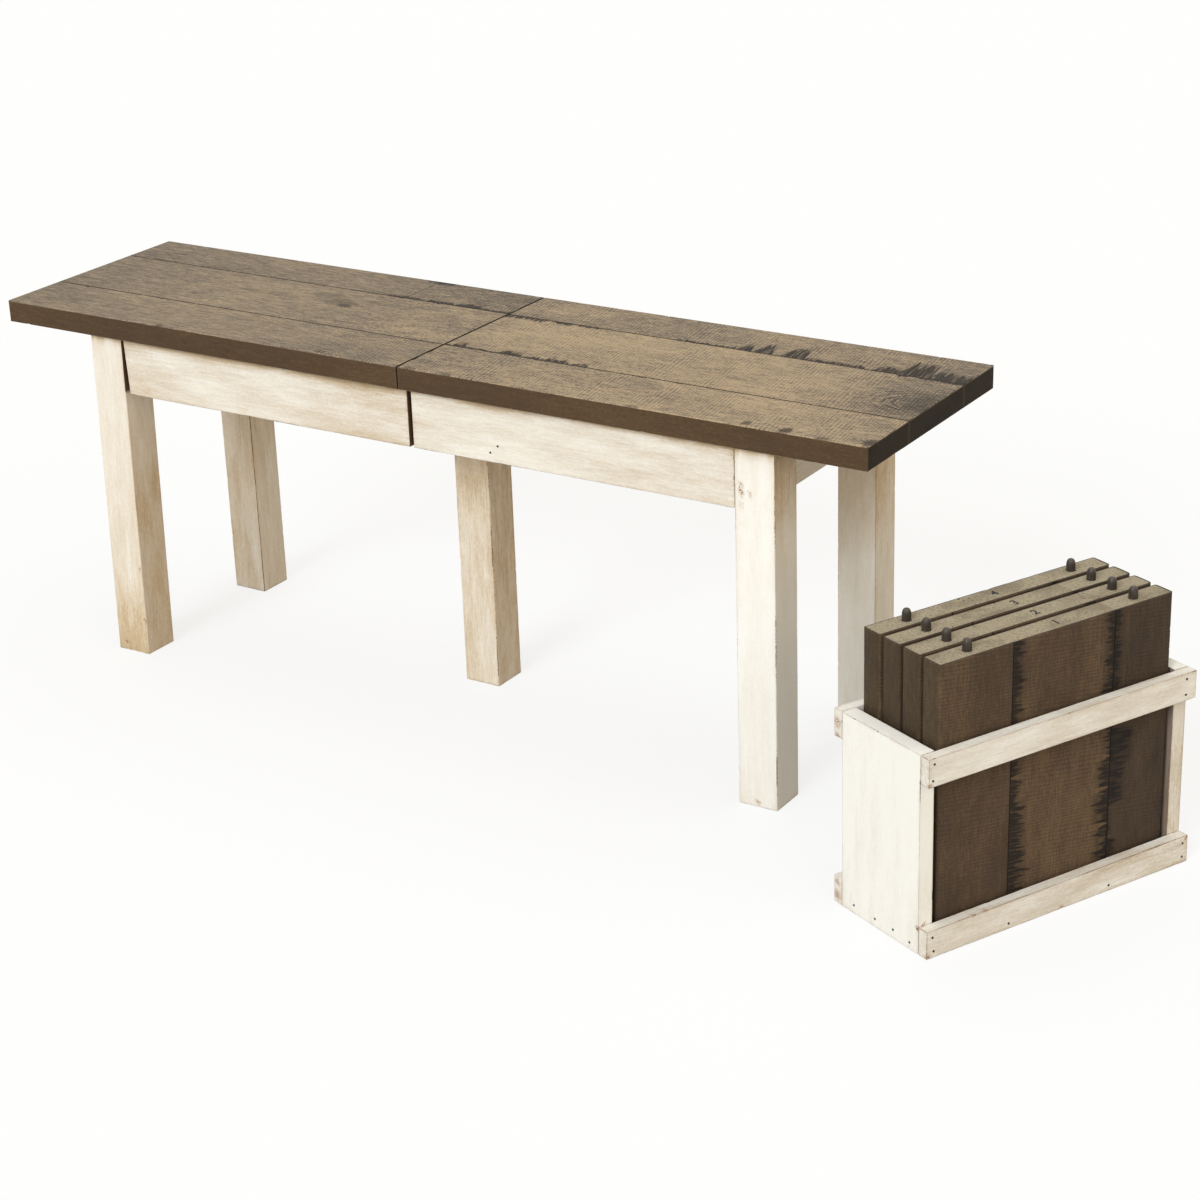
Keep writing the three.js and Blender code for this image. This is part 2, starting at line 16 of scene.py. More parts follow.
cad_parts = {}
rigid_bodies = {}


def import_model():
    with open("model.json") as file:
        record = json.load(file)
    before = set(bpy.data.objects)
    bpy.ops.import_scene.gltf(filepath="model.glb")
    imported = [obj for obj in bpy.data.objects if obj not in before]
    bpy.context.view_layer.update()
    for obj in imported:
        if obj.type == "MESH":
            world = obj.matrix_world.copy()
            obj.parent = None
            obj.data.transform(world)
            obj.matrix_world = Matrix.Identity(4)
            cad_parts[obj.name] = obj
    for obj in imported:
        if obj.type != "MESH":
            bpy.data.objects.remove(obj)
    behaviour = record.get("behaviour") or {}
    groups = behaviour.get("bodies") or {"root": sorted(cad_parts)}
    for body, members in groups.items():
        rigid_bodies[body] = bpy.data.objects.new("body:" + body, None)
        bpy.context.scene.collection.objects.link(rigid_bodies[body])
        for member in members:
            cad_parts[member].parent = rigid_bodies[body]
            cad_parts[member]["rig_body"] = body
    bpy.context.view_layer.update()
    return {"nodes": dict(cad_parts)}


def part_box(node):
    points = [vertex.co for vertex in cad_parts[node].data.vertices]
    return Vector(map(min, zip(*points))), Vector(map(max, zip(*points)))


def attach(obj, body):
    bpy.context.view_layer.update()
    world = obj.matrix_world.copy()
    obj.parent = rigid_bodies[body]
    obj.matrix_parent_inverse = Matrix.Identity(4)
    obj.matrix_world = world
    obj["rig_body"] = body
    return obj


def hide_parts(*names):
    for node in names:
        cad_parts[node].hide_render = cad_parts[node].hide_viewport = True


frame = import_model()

bl_info = {
    "name": "Extension bench finishes",
    "version": (1, 0, 0),
    "blender": (4, 5, 0),
    "location": "View3D > Sidebar > Bench",
    "description": "Planks, paint, slides, crate, stage and camera of an extension bench",
    "category": "Object",
}

MM = 0.001
X, Y, Z = 0, 1, 2
FLOOR_LEVEL = 0.0
SEED = 41
# Points nearer than this are one point, and faces flatter than this to each other are one face.
WELD, FLAT_ANGLE = 0.001 * MM, math.radians(0.5)
# Edges up to the first angle are shaded as one surface, and those past the second are softened.
SMOOTH_ANGLE, SHARP_ANGLE = math.radians(34), math.radians(50)
# How far a normal leans along an axis where a face, or the end of a board, belongs to that side.
FACING, END_FACING = 0.5, 0.8

SIDES = ("left", "right")
FACES = ("front", "back")
CORNERS = [(side, face) for side in SIDES for face in FACES]
ROWS = ("front", "middle", "back")
LEAVES = (1, 2, 3, 4)

# Where the numbers of each kind of piece start. A piece's number picks its place in the grain.
LEAF_NUMBERS, PIN_NUMBERS, PAINTED_NUMBERS, MAPLE_NUMBERS, STREAK_NUMBERS = 20, 60, 100, 200, 300


def colour(red, green, blue):
    """A screen colour, 0 to 255, as the linear values that shaders take."""
    channels = []
    for value in (red, green, blue):
        share = value / 255
        channels.append(share / 12.92 if share <= 0.04045 else ((share + 0.055) / 1.055) ** 2.4)
    return tuple(channels)


def opaque(linear):
    return (*linear, 1.0)


def shade_of(linear, share):
    """A colour made darker by a share below 1, or lighter by one above it."""
    return tuple(channel * share for channel in linear)


# Places that follow from the frame.
seat_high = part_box("right_back_board")[1]
split_x = (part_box("left_front_board")[1].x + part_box("right_front_board")[0].x) / 2
frame_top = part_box("right_front_leg")[1].z


def crate_turn_of():
    """How far the crate is turned about Z, from the longest level edge of its bottom slat."""
    mesh = frame["nodes"]["crate_front_bottom_slat"].data
    best, turn = 0, 0
    for edge in mesh.edges:
        run = mesh.vertices[edge.vertices[1]].co - mesh.vertices[edge.vertices[0]].co
        level = math.hypot(run.x, run.y)
        if abs(run.z) < WELD and level > best:
            best = level
            turn = math.atan2(run.y, run.x)
    return turn if abs(turn) < math.pi / 2 else turn - math.copysign(math.pi, turn)


crate_turn = crate_turn_of()


class SeatLook(bpy.types.PropertyGroup):
    """Stain and saw marks of the seat boards."""
    # These wide-face colours are painted lighter than upright faces of the same wood, such as the leaves':
    # painted light and sheen from overhead on the seat's top.
    sawn: FloatVectorProperty(
        name="Sawn face", description="Stain on the boards' wide faces", subtype="COLOR",
        size=3, min=0, max=1, default=colour(135, 121, 104))
    golden: FloatVectorProperty(
        name="Golden grain", description="Lighter, warmer grain", subtype="COLOR",
        size=3, min=0, max=1, default=colour(179, 156, 126))
    shaded: FloatVectorProperty(
        name="Grey grain", description="Darker, greyer grain", subtype="COLOR",
        size=3, min=0, max=1, default=colour(84, 76, 68))
    edge: FloatVectorProperty(
        name="Edge", description="Stain on the boards' narrow faces", subtype="COLOR",
        size=3, min=0, max=1, default=colour(81, 63, 45))
    edge_light: FloatVectorProperty(
        name="Edge grain", description="Lighter grain on the narrow faces", subtype="COLOR",
        size=3, min=0, max=1, default=colour(112, 91, 68))
    end: FloatVectorProperty(
        name="End grain", description="Stain on the boards' ends", subtype="COLOR",
        size=3, min=0, max=1, default=colour(54, 47, 39))
    stain: FloatVectorProperty(
        name="Seam stain", description="Near-black streaks beside the seams", subtype="COLOR",
        size=3, min=0, max=1, default=colour(44, 39, 36))
    saw_pitch: FloatProperty(
        name="Saw pitch", description="Distance between saw marks", default=3.6 * MM,
        min=MM, max=20 * MM, unit="LENGTH")
    saw_depth: FloatProperty(
        name="Saw depth", description="Depth of a saw mark", default=0.1 * MM,
        min=0, max=MM, unit="LENGTH")
    wide_step: FloatProperty(
        name="Width step", description="Size of the mesh across a board", default=8 * MM,
        min=2 * MM, max=50 * MM, unit="LENGTH")


class LeafLook(bpy.types.PropertyGroup):
    """Stain of the loose leaves and their pins."""
    sawn: FloatVectorProperty(
        name="Sawn face", description="Stain on the leaves' wide faces", subtype="COLOR",
        size=3, min=0, max=1, default=colour(77, 62, 49))
    golden: FloatVectorProperty(
        name="Golden grain", description="Lighter, warmer grain", subtype="COLOR",
        size=3, min=0, max=1, default=colour(120, 97, 72))
    shaded: FloatVectorProperty(
        name="Dark grain", description="Darker grain", subtype="COLOR",
        size=3, min=0, max=1, default=colour(44, 37, 32))
    side: FloatVectorProperty(
        name="Side", description="Stain on the leaves' narrow faces", subtype="COLOR",
        size=3, min=0, max=1, default=colour(71, 58, 43))
    side_light: FloatVectorProperty(
        name="Side grain", description="Lighter grain on the narrow faces", subtype="COLOR",
        size=3, min=0, max=1, default=colour(110, 93, 71))
    # The sawn ends face up: their colours are painted lighter, as light from overhead.
    end: FloatVectorProperty(
        name="End grain", description="Sawn ends of the leaves", subtype="COLOR",
        size=3, min=0, max=1, default=colour(176, 164, 142))
    end_shade: FloatVectorProperty(
        name="End pores", description="Pores and rings of the sawn ends", subtype="COLOR",
        size=3, min=0, max=1, default=colour(100, 88, 73))
    pin: FloatVectorProperty(
        name="Pins", description="Turned pins", subtype="COLOR",
        size=3, min=0, max=1, default=colour(64, 56, 48))


class PaintLook(bpy.types.PropertyGroup):
    """Cream paint, its glaze and the wood under it."""
    cream: FloatVectorProperty(
        name="Cream", description="Paint", subtype="COLOR",
        size=3, min=0, max=1, default=colour(251, 249, 245))
    # The tan is also the colour of painted shade under the seat.
    glaze: FloatVectorProperty(
        name="Glaze", description="Tan glaze wiped over the paint", subtype="COLOR",
        size=3, min=0, max=1, default=colour(209, 186, 154))
    # Also used where glaze and painted shade lie thick, as at the top of the right legs' right sides.
    deep_glaze: FloatVectorProperty(
        name="Deep glaze", description="Glaze where it lies thick", subtype="COLOR",
        size=3, min=0, max=1, default=colour(166, 142, 110))
    edge_glaze: FloatVectorProperty(
        name="Edge glaze", description="Glaze left along arrises and in joints", subtype="COLOR",
        size=3, min=0, max=1, default=colour(134, 102, 66))
    bare: FloatVectorProperty(
        name="Bare wood", description="Wood where the paint is rubbed through", subtype="COLOR",
        size=3, min=0, max=1, default=colour(92, 64, 44))
    step: FloatProperty(
        name="Mesh step", description="Size of the mesh on painted pieces", default=4.5 * MM,
        min=2 * MM, max=50 * MM, unit="LENGTH")


class StageLook(bpy.types.PropertyGroup):
    """Floor, backdrop and lamps."""
    floor: FloatVectorProperty(
        name="Floor", description="Floor colour", subtype="COLOR",
        size=3, min=0, max=1, default=colour(180, 174, 164))
    sky: FloatProperty(name="Sky", description="Strength of the plain light all round",
                       default=0.5, min=0, max=2)
    sky_tint: FloatVectorProperty(
        name="Sky tint", description="Colour of the plain light all round", subtype="COLOR",
        size=3, min=0, max=1, default=(1.0, 0.88, 0.65))
    key: FloatProperty(name="Key", description="Strength of the soft lamp in front",
                       default=1.9, min=0, max=10)
    key_tint: FloatVectorProperty(
        name="Key tint", description="Colour of the soft lamp in front", subtype="COLOR",
        size=3, min=0, max=2, default=(0.97, 1.06, 1.14))
    fill_tint: FloatVectorProperty(
        name="Fill tint", description="Colour of the lamp at the right", subtype="COLOR",
        size=3, min=0, max=2, default=(1.03, 0.94, 0.8))
    fill: FloatProperty(name="Fill", description="Strength of the soft lamp at the right",
                        default=0.56, min=0, max=10)
    top: FloatProperty(name="Top", description="Strength of the soft lamp overhead",
                       default=0.8, min=0, max=10)


class Wiring:
    """Adds nodes to a node tree and joins them."""

    spacing, columns = 180, 12

    def __init__(self, tree):
        self.tree = tree

    def add(self, kind, inputs=None, **settings):
        """A new node with its settings made and its inputs fed."""
        node = self.tree.nodes.new(kind)
        row, column = divmod(len(self.tree.nodes), self.columns)
        node.location = (self.spacing * column, -self.spacing * row)
        for name, value in settings.items():
            setattr(node, name, value)
        for key, value in (inputs or {}).items():
            self.feed(node.inputs[key], value)
        return node

    def feed(self, socket, value):
        if isinstance(value, bpy.types.NodeSocket):
            self.tree.links.new(value, socket)
        else:
            socket.default_value = value

    def math(self, operation, first, second=0.0, clamp=False):
        return self.add("ShaderNodeMath", {0: first, 1: second}, operation=operation,
                        use_clamp=clamp).outputs[0]

    def times(self, first, second):
        return self.math("MULTIPLY", first, second)

    def plus(self, first, second):
        return self.math("ADD", first, second)

    def minus(self, first, second):
        return self.math("SUBTRACT", first, second)

    def most(self, first, second):
        return self.math("MAXIMUM", first, second)

    def held(self, value, factor=1.0):
        """The value times a factor, held between 0 and 1."""
        return self.math("MULTIPLY", value, factor, clamp=True)

    def vector(self, operation, first, second):
        return self.add("ShaderNodeVectorMath", {0: first, 1: second}, operation=operation).outputs[0]

    def length(self, vector):
        return self.add("ShaderNodeVectorMath", {0: vector}, operation="LENGTH").outputs["Value"]

    def parts(self, vector):
        return self.add("ShaderNodeSeparateXYZ", {0: vector}).outputs

    def joined(self, x, y, z):
        return self.add("ShaderNodeCombineXYZ", {0: x, 1: y, 2: z}).outputs[0]

    def noise(self, place, rates, detail=3.0, roughness=0.55, distortion=0.0):
        """Noise over a place, at so many changes to the metre along x, y and z."""
        inputs = {"Vector": self.vector("MULTIPLY", place, rates), "Scale": 1.0, "Detail": detail,
                  "Roughness": roughness, "Distortion": distortion}
        return self.add("ShaderNodeTexNoise", inputs).outputs[0]

    def step(self, value, low, high, to_low=0.0, to_high=1.0):
        """The value's place between low and high, eased at both ends."""
        inputs = {0: value, 1: low, 2: high, 3: to_low, 4: to_high}
        return self.add("ShaderNodeMapRange", inputs, interpolation_type="SMOOTHSTEP").outputs[0]

    def mix(self, factor, first, second):
        """The first colour where the factor is 0 and the second where it is 1."""
        return self.add("ShaderNodeMix", {0: factor, 6: first, 7: second}, data_type="RGBA").outputs[2]

    def attribute(self, name, output="Fac"):
        return self.add("ShaderNodeAttribute", attribute_name=name).outputs[output]

    def board_place(self):
        """Where a point lies in its own board, with x along the grain."""
        return self.attribute("place", "Vector")

    def object_place(self):
        return self.add("ShaderNodeTexCoord").outputs["Object"]

    def seen_directly(self):
        """1 where the camera or a mirror image looks, and 0 where only light is gathered."""
        path = self.add("ShaderNodeLightPath").outputs
        return self.most(self.most(path["Is Camera Ray"], path["Is Glossy Ray"]),
                         path["Is Transmission Ray"])

    def group(self, name, **inputs):
        """A node of a shared group. An input's name is its socket's, with _ for a space."""
        node = self.add("ShaderNodeGroup", node_tree=shared(name))
        for label, value in inputs.items():
            self.feed(node.inputs[label.replace("_", " ").capitalize()], value)
        return node.outputs


VALUE, VECTOR, COLOUR = "NodeSocketFloat", "NodeSocketVector", "NodeSocketColor"
WHITE, PAPER = (1.0, 1.0, 1.0, 1.0), (0.9, 0.9, 0.9, 1.0)


def new_group(name, inputs, outputs):
    """A shader node group with the named sockets, its wiring, its inputs and its output node."""
    tree = bpy.data.node_groups.new(name, "ShaderNodeTree")
    for label, kind, value in inputs:
        socket = tree.interface.new_socket(label, in_out="INPUT", socket_type=kind)
        if value is not None:
            socket.default_value = value
    for label in outputs:
        kind = COLOUR if label == "Colour" else VALUE
        tree.interface.new_socket(label, in_out="OUTPUT", socket_type=kind)
    wiring = Wiring(tree)
    given = wiring.add("NodeGroupInput").outputs
    out = wiring.add("NodeGroupOutput").inputs
    return tree, wiring, given, out


# A streak's width as a share of its length, how far below the grain's zero point the middle of
# the tree lies, and by how many rings the rings wander.
STREAK_SLIMNESS, PITH_DEPTH, RING_WANDER = 0.13, 55 * MM, 5.0


def grain_group():
    """Streaks, fibres, growth rings and clouds of a board, with its length along x."""
    tree, wire, given, out = new_group(
        "Board grain",
        [("Place", VECTOR, None), ("Streak width", VALUE, 4 * MM), ("Ring width", VALUE, 7 * MM)],
        ["Streaks", "Fibres", "Rings", "Clouds", "Mottle"])
    place = given["Place"]
    across = wire.math("DIVIDE", 1.0, given["Streak width"])
    lengthways = wire.times(across, STREAK_SLIMNESS)
    streak_rates = wire.joined(lengthways, across, across)
    wire.feed(out["Streaks"], wire.noise(place, streak_rates, 5, 0.6, distortion=0.3))
    wire.feed(out["Fibres"], wire.noise(place, (70, 480, 480), 4, 0.7))
    wire.feed(out["Clouds"], wire.noise(place, (6, 15, 15), 4, 0.6))
    wire.feed(out["Mottle"], wire.noise(place, (210, 420, 420), 4, 0.7))
    _, y, z = wire.parts(place)
    from_pith = wire.length(wire.joined(0.0, y, wire.plus(z, PITH_DEPTH)))
    rings = wire.math("DIVIDE", from_pith, given["Ring width"])
    rings = wire.plus(rings, wire.times(wire.noise(place, (5, 22, 22), 2), RING_WANDER))
    rings = wire.math("SINE", wire.times(rings, 2 * math.pi))
    wire.feed(out["Rings"], wire.step(rings, -0.6, 1.0))
    return tree


# How much a saw mark leans along the board, and by how many marks and how often they wander.
SAW_SLANT, SAW_WANDER = 0.12, 0.55
SAW_WANDER_RATES = (31.0, 83.0)


def saw_phase(along, across, pitch):
    """Where a point lies in the run of saw marks, one whole number for each mark."""
    wander = sum(math.sin(rate * along) for rate in SAW_WANDER_RATES)
    return (along + SAW_SLANT * across) / pitch + SAW_WANDER * wander


def saw_group():
    """Stain in the marks that the mill's saw left across a board."""
    tree, wire, given, out = new_group(
        "Saw marks", [("Place", VECTOR, None), ("Pitch", VALUE, 4.2 * MM)], ["Lines", "Height"])
    place = given["Place"]
    x, y, _ = wire.parts(place)
    phase = wire.math("DIVIDE", wire.plus(x, wire.times(y, SAW_SLANT)), given["Pitch"])
    for rate in SAW_WANDER_RATES:
        phase = wire.plus(phase, wire.times(wire.math("SINE", wire.times(x, rate)), SAW_WANDER))
    waver = wire.times(wire.noise(place, (60, 14, 14), 2), 0.5)
    wave = wire.math("SINE", wire.times(wire.plus(phase, waver), 2 * math.pi))
    patch = wire.step(wire.noise(place, (22, 38, 38)), 0.34, 0.6, 0.45, 1.0)
    scratch = wire.noise(place, (1000, 60, 60), 3, 0.6)
    lines = wire.plus(wire.step(wave, 0.35, -1.0, 0.0, 0.8), wire.step(scratch, 0.45, 0.75, 0.0, 0.6))
    wire.feed(out["Lines"], wire.times(lines, patch))
    wire.feed(out["Height"], wire.times(wave, patch))
    return tree


def seam_stain_group():
    """Ragged dark streaks that reach in from a seam, their teeth along the saw marks."""
    tree, wire, given, out = new_group(
        "Seam stain",
        [("Place", VECTOR, None), ("Reach", VALUE, 0.0), ("Distance", VALUE, 1.0),
         ("Softness", VALUE, 1.0)], ["Mask"])
    full_reach, distance, softness = given["Reach"], given["Distance"], given["Softness"]
    x, y, _ = wire.parts(given["Place"])
    slanted = wire.joined(wire.plus(x, wire.times(y, SAW_SLANT)), y, 1.0)
    teeth = wire.step(wire.noise(slanted, (300, 9, 0)), 0.3, 0.7, 0.25, 0.8)
    broad = wire.step(wire.noise(slanted, (95, 4, 5), 1), 0.3, 0.7, -0.05, 0.45)
    hatch = wire.step(wire.noise(slanted, (430, 22, 9), 2), 0.34, 0.52, 0.55, 1.0)
    inside = wire.minus(wire.times(full_reach, wire.plus(teeth, broad)), distance)
    solid = wire.step(inside, wire.times(softness, -0.5 * MM), wire.times(softness, 2.4 * MM))
    faint = wire.step(wire.minus(full_reach, distance), -2 * MM, 10 * MM, 0.0, 0.4)
    present = wire.step(full_reach, 0.3 * MM, 1.5 * MM)
    wire.feed(out["Mask"], wire.times(wire.most(wire.times(solid, hatch), faint), present))
    return tree


def round_spot_group():
    """A soft-edged spot about a centre, such as a knot or a drop of putty."""
    tree, wire, given, out = new_group(
        "Round spot",
        [("Place", VECTOR, None), ("Centre", VECTOR, None), ("Size", VECTOR, (MM, MM, MM)),
         ("Raggedness", VALUE, 0.35)], ["Mask", "Distance"])
    place = given["Place"]
    offset = wire.vector("SUBTRACT", place, given["Centre"])
    distance = wire.length(wire.vector("DIVIDE", offset, given["Size"]))
    rough = wire.times(wire.minus(wire.noise(place, (170, 170, 170)), 0.5), given["Raggedness"])
    ragged = wire.plus(distance, wire.times(rough, 3.0))
    wire.feed(out["Mask"], wire.step(ragged, 1.15, 0.55))
    wire.feed(out["Distance"], distance)
    return tree


def edge_wear_group():
    """Where an arris is rubbed."""
    tree, wire, given, out = new_group(
        "Edge wear",
        [("Place", VECTOR, None), ("Near edge", VALUE, 1.0), ("Width", VALUE, 1.6 * MM),
         ("Amount", VALUE, 0.5)], ["Rubbed"])
    broad = wire.noise(given["Place"], (16, 60, 60), 2)
    fine = wire.noise(given["Place"], (420, 420, 420))
    unevenness = wire.plus(wire.times(broad, 0.75), wire.times(fine, 0.5))
    near = wire.step(given["Near edge"], wire.times(given["Width"], 1.6), 0.0)
    threshold = wire.minus(1.02, wire.times(given["Amount"], 0.5))
    rubbed = wire.step(wire.plus(unevenness, wire.times(near, 0.28)), threshold,
                       wire.plus(threshold, 0.05))
    wire.feed(out["Rubbed"], wire.times(rubbed, near))
    return tree


def blended(wire, value, dark, middle, light):
    """The dark colour at -1, the middle one at 0 and the light one at 1."""
    return wire.mix(wire.held(value, -1.0), wire.mix(wire.held(value), middle, light), dark)


def weighed(wire, *pairs):
    """The sum of each noise's distance from its middle, times its weight."""
    total = 0.0
    for value, weight in pairs:
        total = wire.plus(wire.times(wire.minus(value, 0.5), weight), total)
    return total


def plank_face_group():
    """Stain on a sawn face: grey and gold clouds, short streaks, mottling and saw marks. Clouds
    and mottling are fainter where the face is planed smoother."""
    tree, wire, given, out = new_group(
        "Plank face",
        [("Place", VECTOR, None), ("Tone", VALUE, 0.0), ("Saw strength", VALUE, 1.0),
         ("Cloudiness", VALUE, 1.0), ("Streakiness", VALUE, 1.0), ("Speckle", VALUE, 1.0),
         ("Sawn", COLOUR, WHITE), ("Golden", COLOUR, WHITE), ("Shaded", COLOUR, WHITE)],
        ["Colour", "Height", "Streaks"])
    place, saw_strength = given["Place"], given["Saw strength"]
    grain = wire.group("grain", Place=place, Streak_width=5 * MM)
    saw = wire.group("saw", Place=place)
    patches = wire.noise(place, (22, 50, 50), 5, 0.6)
    grit = wire.noise(place, (360, 460, 460), 2, 0.7)
    unplaned = wire.step(saw_strength, 0.3, 1.0, 0.5, 1.0)
    clouds = wire.times(weighed(wire, (grain["Clouds"], 1.6), (patches, 0.8)), given["Cloudiness"])
    speckle = wire.times(weighed(wire, (grain["Mottle"], 2.5), (grit, 2.8)), given["Speckle"])
    streaky = wire.times(weighed(wire, (grain["Streaks"], 0.9), (grain["Fibres"], 3.7)),
                         given["Streakiness"])
    lines = wire.times(wire.minus(saw["Lines"], 0.25), wire.times(saw_strength, -0.85))
    value = given["Tone"]
    for effect in (wire.times(wire.plus(clouds, speckle), unplaned), streaky, lines):
        value = wire.plus(value, effect)
    wire.feed(out["Colour"], blended(wire, value, given["Shaded"], given["Sawn"], given["Golden"]))
    height = wire.plus(wire.times(wire.times(saw["Height"], saw_strength), 0.35),
                       wire.times(grain["Mottle"], 0.8))
    wire.feed(out["Height"], height)
    wire.feed(out["Streaks"], grain["Streaks"])
    return tree


def plank_edge_group():
    """Stain on the planed edge of a board, lighter along the arris: wear and a painted highlight."""
    tree, wire, given, out = new_group(
        "Plank edge",
        [("Place", VECTOR, None), ("Near edge", VALUE, 1.0), ("Base", COLOUR, WHITE),
         ("Shade", COLOUR, WHITE), ("Light", COLOUR, WHITE)], ["Colour", "Height", "Streaks"])
    grain = wire.group("grain", Place=given["Place"])
    value = weighed(wire, (grain["Clouds"], 1.0), (grain["Streaks"], 0.6), (grain["Mottle"], 1.2),
                    (grain["Fibres"], 0.6))
    # Lighter along the arris: worn stain and a painted highlight.
    worn_and_highlit = wire.step(given["Near edge"], 1.6 * MM, 0.4 * MM, 0.0, 0.7)
    value = wire.plus(value, wire.times(worn_and_highlit, wire.step(grain["Fibres"], 0.35, 0.65)))
    wire.feed(out["Colour"], blended(wire, value, given["Shade"], given["Base"], given["Light"]))
    wire.feed(out["Height"], grain["Mottle"])
    wire.feed(out["Streaks"], grain["Streaks"])
    return tree


def plank_end_group():
    """Sawn end of a board, with growth rings, pores, blots and dots, and a line at its arris."""
    tree, wire, given, out = new_group(
        "Plank end",
        [("Place", VECTOR, None), ("Near edge", VALUE, 1.0), ("Base", COLOUR, WHITE),
         ("Shade", COLOUR, WHITE), ("Edge", COLOUR, WHITE)], ["Colour", "Height"])
    place, shade, edge = given["Place"], given["Shade"], given["Edge"]
    grain = wire.group("grain", Place=place, Ring_width=3.4 * MM)
    pores = wire.noise(place, (200, 320, 700), 4, 0.7)
    blot = wire.noise(place, (14, 13, 26), 5, 0.6)
    dot = wire.noise(place, (230, 230, 230), 1)
    layers = ((wire.times(grain["Rings"], 0.18), shade), (wire.step(pores, 0.58, 0.36, 0.0, 0.6), shade),
              (wire.step(blot, 0.44, 0.68, 0.0, 0.5), shade), (wire.step(dot, 0.72, 0.77, 0.0, 0.95), edge),
              (wire.step(given["Near edge"], 2.6 * MM, 1.5 * MM, 0.0, 0.9), edge))
    tint = given["Base"]
    for mask, layer in layers:
        tint = wire.mix(mask, tint, layer)
    wire.feed(out["Colour"], tint)
    wire.feed(out["Height"], pores)
    return tree


SHARED_GROUPS = {}


def shared(name):
    """The named shader node group, built when it is first asked for."""
    makers = {"grain": grain_group, "saw": saw_group, "seam stain": seam_stain_group,
              "spot": round_spot_group, "edge wear": edge_wear_group, "face": plank_face_group,
              "edge": plank_edge_group, "end": plank_end_group}
    if name not in SHARED_GROUPS:
        SHARED_GROUPS[name] = makers[name]()
    return SHARED_GROUPS[name]


def new_material(name):
    """A node material with its wiring and its Principled shader."""
    material = bpy.data.materials.new(name)
    material.use_nodes = True
    wire = Wiring(material.node_tree)
    shader = material.node_tree.nodes["Principled BSDF"]
    return material, wire, shader


def dress(wire, shader, base, roughness, relief, depth, specular=0.5):
    """Feeds the shader with a colour, a roughness, a shine and the relief of the surface."""
    wire.feed(shader.inputs["Base Color"], base)
    wire.feed(shader.inputs["Roughness"], roughness)
    shader.inputs["Specular IOR Level"].default_value = specular
    bump = wire.add("ShaderNodeBump", {"Strength": 1.0, "Distance": depth, "Height": relief})
    wire.feed(shader.inputs["Normal"], bump.outputs[0])


# Knots and stain spots on the seat boards' top faces: centre x and y, and half sizes, from the
# middle of the bench. The last value is how dark the spot is.
SEAT_SPOTS = (
    ((-206, 3), (13, 8), 0.75),
    ((-218, 12), (26, 15), 0.4),
    ((-246, 30), (30, 14), 0.3),
    ((-330, 6), (60, 9), 0.22),
    ((-150, 30), (50, 10), 0.15),
    ((-60, 20), (34, 12), 0.15),
    ((374, -31), (18, 6), 0.3),
    ((458, -158), (6, 7), 0.7),
    ((508, -161), (9, 9), 0.85),
    ((554, -166), (12, 5), 0.6),
    ((606, -155), (9, 13), 0.75),
    ((16, -166), (10, 6), 0.5),
    ((66, -166), (9, 6), 0.45),
    ((320, -166), (9, 5), 0.45),
    ((-118, -161), (2, 6), 0.8),
    ((-112, -161), (2, 5), 0.7),
    ((-360, -166), (7, 4), 0.6),
    ((600, -20), (22, 34), 0.45),
)
SPOT_DEPTH = 9 * MM

# The grain that curves round a buried knot: its middle, its half sizes and its number of rings.
SWIRL_CENTRE = (split_x + 590 * MM, -21 * MM, seat_high.z)
SWIRL_SIZE = (62 * MM, 44 * MM, 30 * MM)
SWIRL_RINGS = 5.5

# Thin dark saw scores right across the left back board: place from the middle of the bench,
# width, and how dark it is.
SCORE_LINES = ((-156.8, 1.2, 0.6), (-76.0, 0.7, 0.35), (-46.8, 0.7, 0.35))

# How much of a board's own colour the darkest stain and the painted shade in the seams hide.
STAIN_AND_SHADE_COVER = 0.94


def sawn_face_material(name, look, stain, softness, cloudiness, streakiness, speckle, spots=()):
    """Wide face of a board: stain over saw marks, with knots, and seams dark with stain and with
    painted shade in the gaps.
    """
    material, wire, shader = new_material(name)
    place, where = wire.board_place(), wire.object_place()
    face = wire.group("face", Place=place, Tone=wire.attribute("tone"), Cloudiness=cloudiness,
                      Streakiness=streakiness, Speckle=speckle,
                      Saw_strength=wire.attribute("saw_strength"), Sawn=opaque(look.sawn),
                      Golden=opaque(look.golden), Shaded=opaque(look.shaded))
    dark = wire.group("seam stain", Place=place, Reach=wire.attribute("stain_reach"),
                      Distance=wire.attribute("stain_distance"), Softness=softness)["Mask"]
    for (x, y), (half_x, half_y), strength in spots:
        spot = wire.group("spot", Place=where, Centre=(split_x + x * MM, y * MM, seat_high.z),
                          Size=(half_x * MM, half_y * MM, SPOT_DEPTH))["Mask"]
        dark = wire.most(dark, wire.times(spot, strength))
    if spots:
        dark = wire.most(dark, swirl_lines(wire, where))
        dark = wire.most(dark, score_lines(wire, where))
    # The seams between boards are darkened: stain in them, and painted shade in the gaps.
    dark = wire.most(dark, wire.step(wire.attribute("near_seam"), 1.2 * MM, 0.5 * MM))
    base = wire.mix(wire.times(dark, STAIN_AND_SHADE_COVER), face["Colour"], opaque(stain))
    rough = wire.plus(wire.step(face["Streaks"], 0.3, 0.7, 0.74, 0.62), wire.times(dark, 0.08))
    dress(wire, shader, base, rough, face["Height"], 0.14 * MM, specular=0.15)
    return material


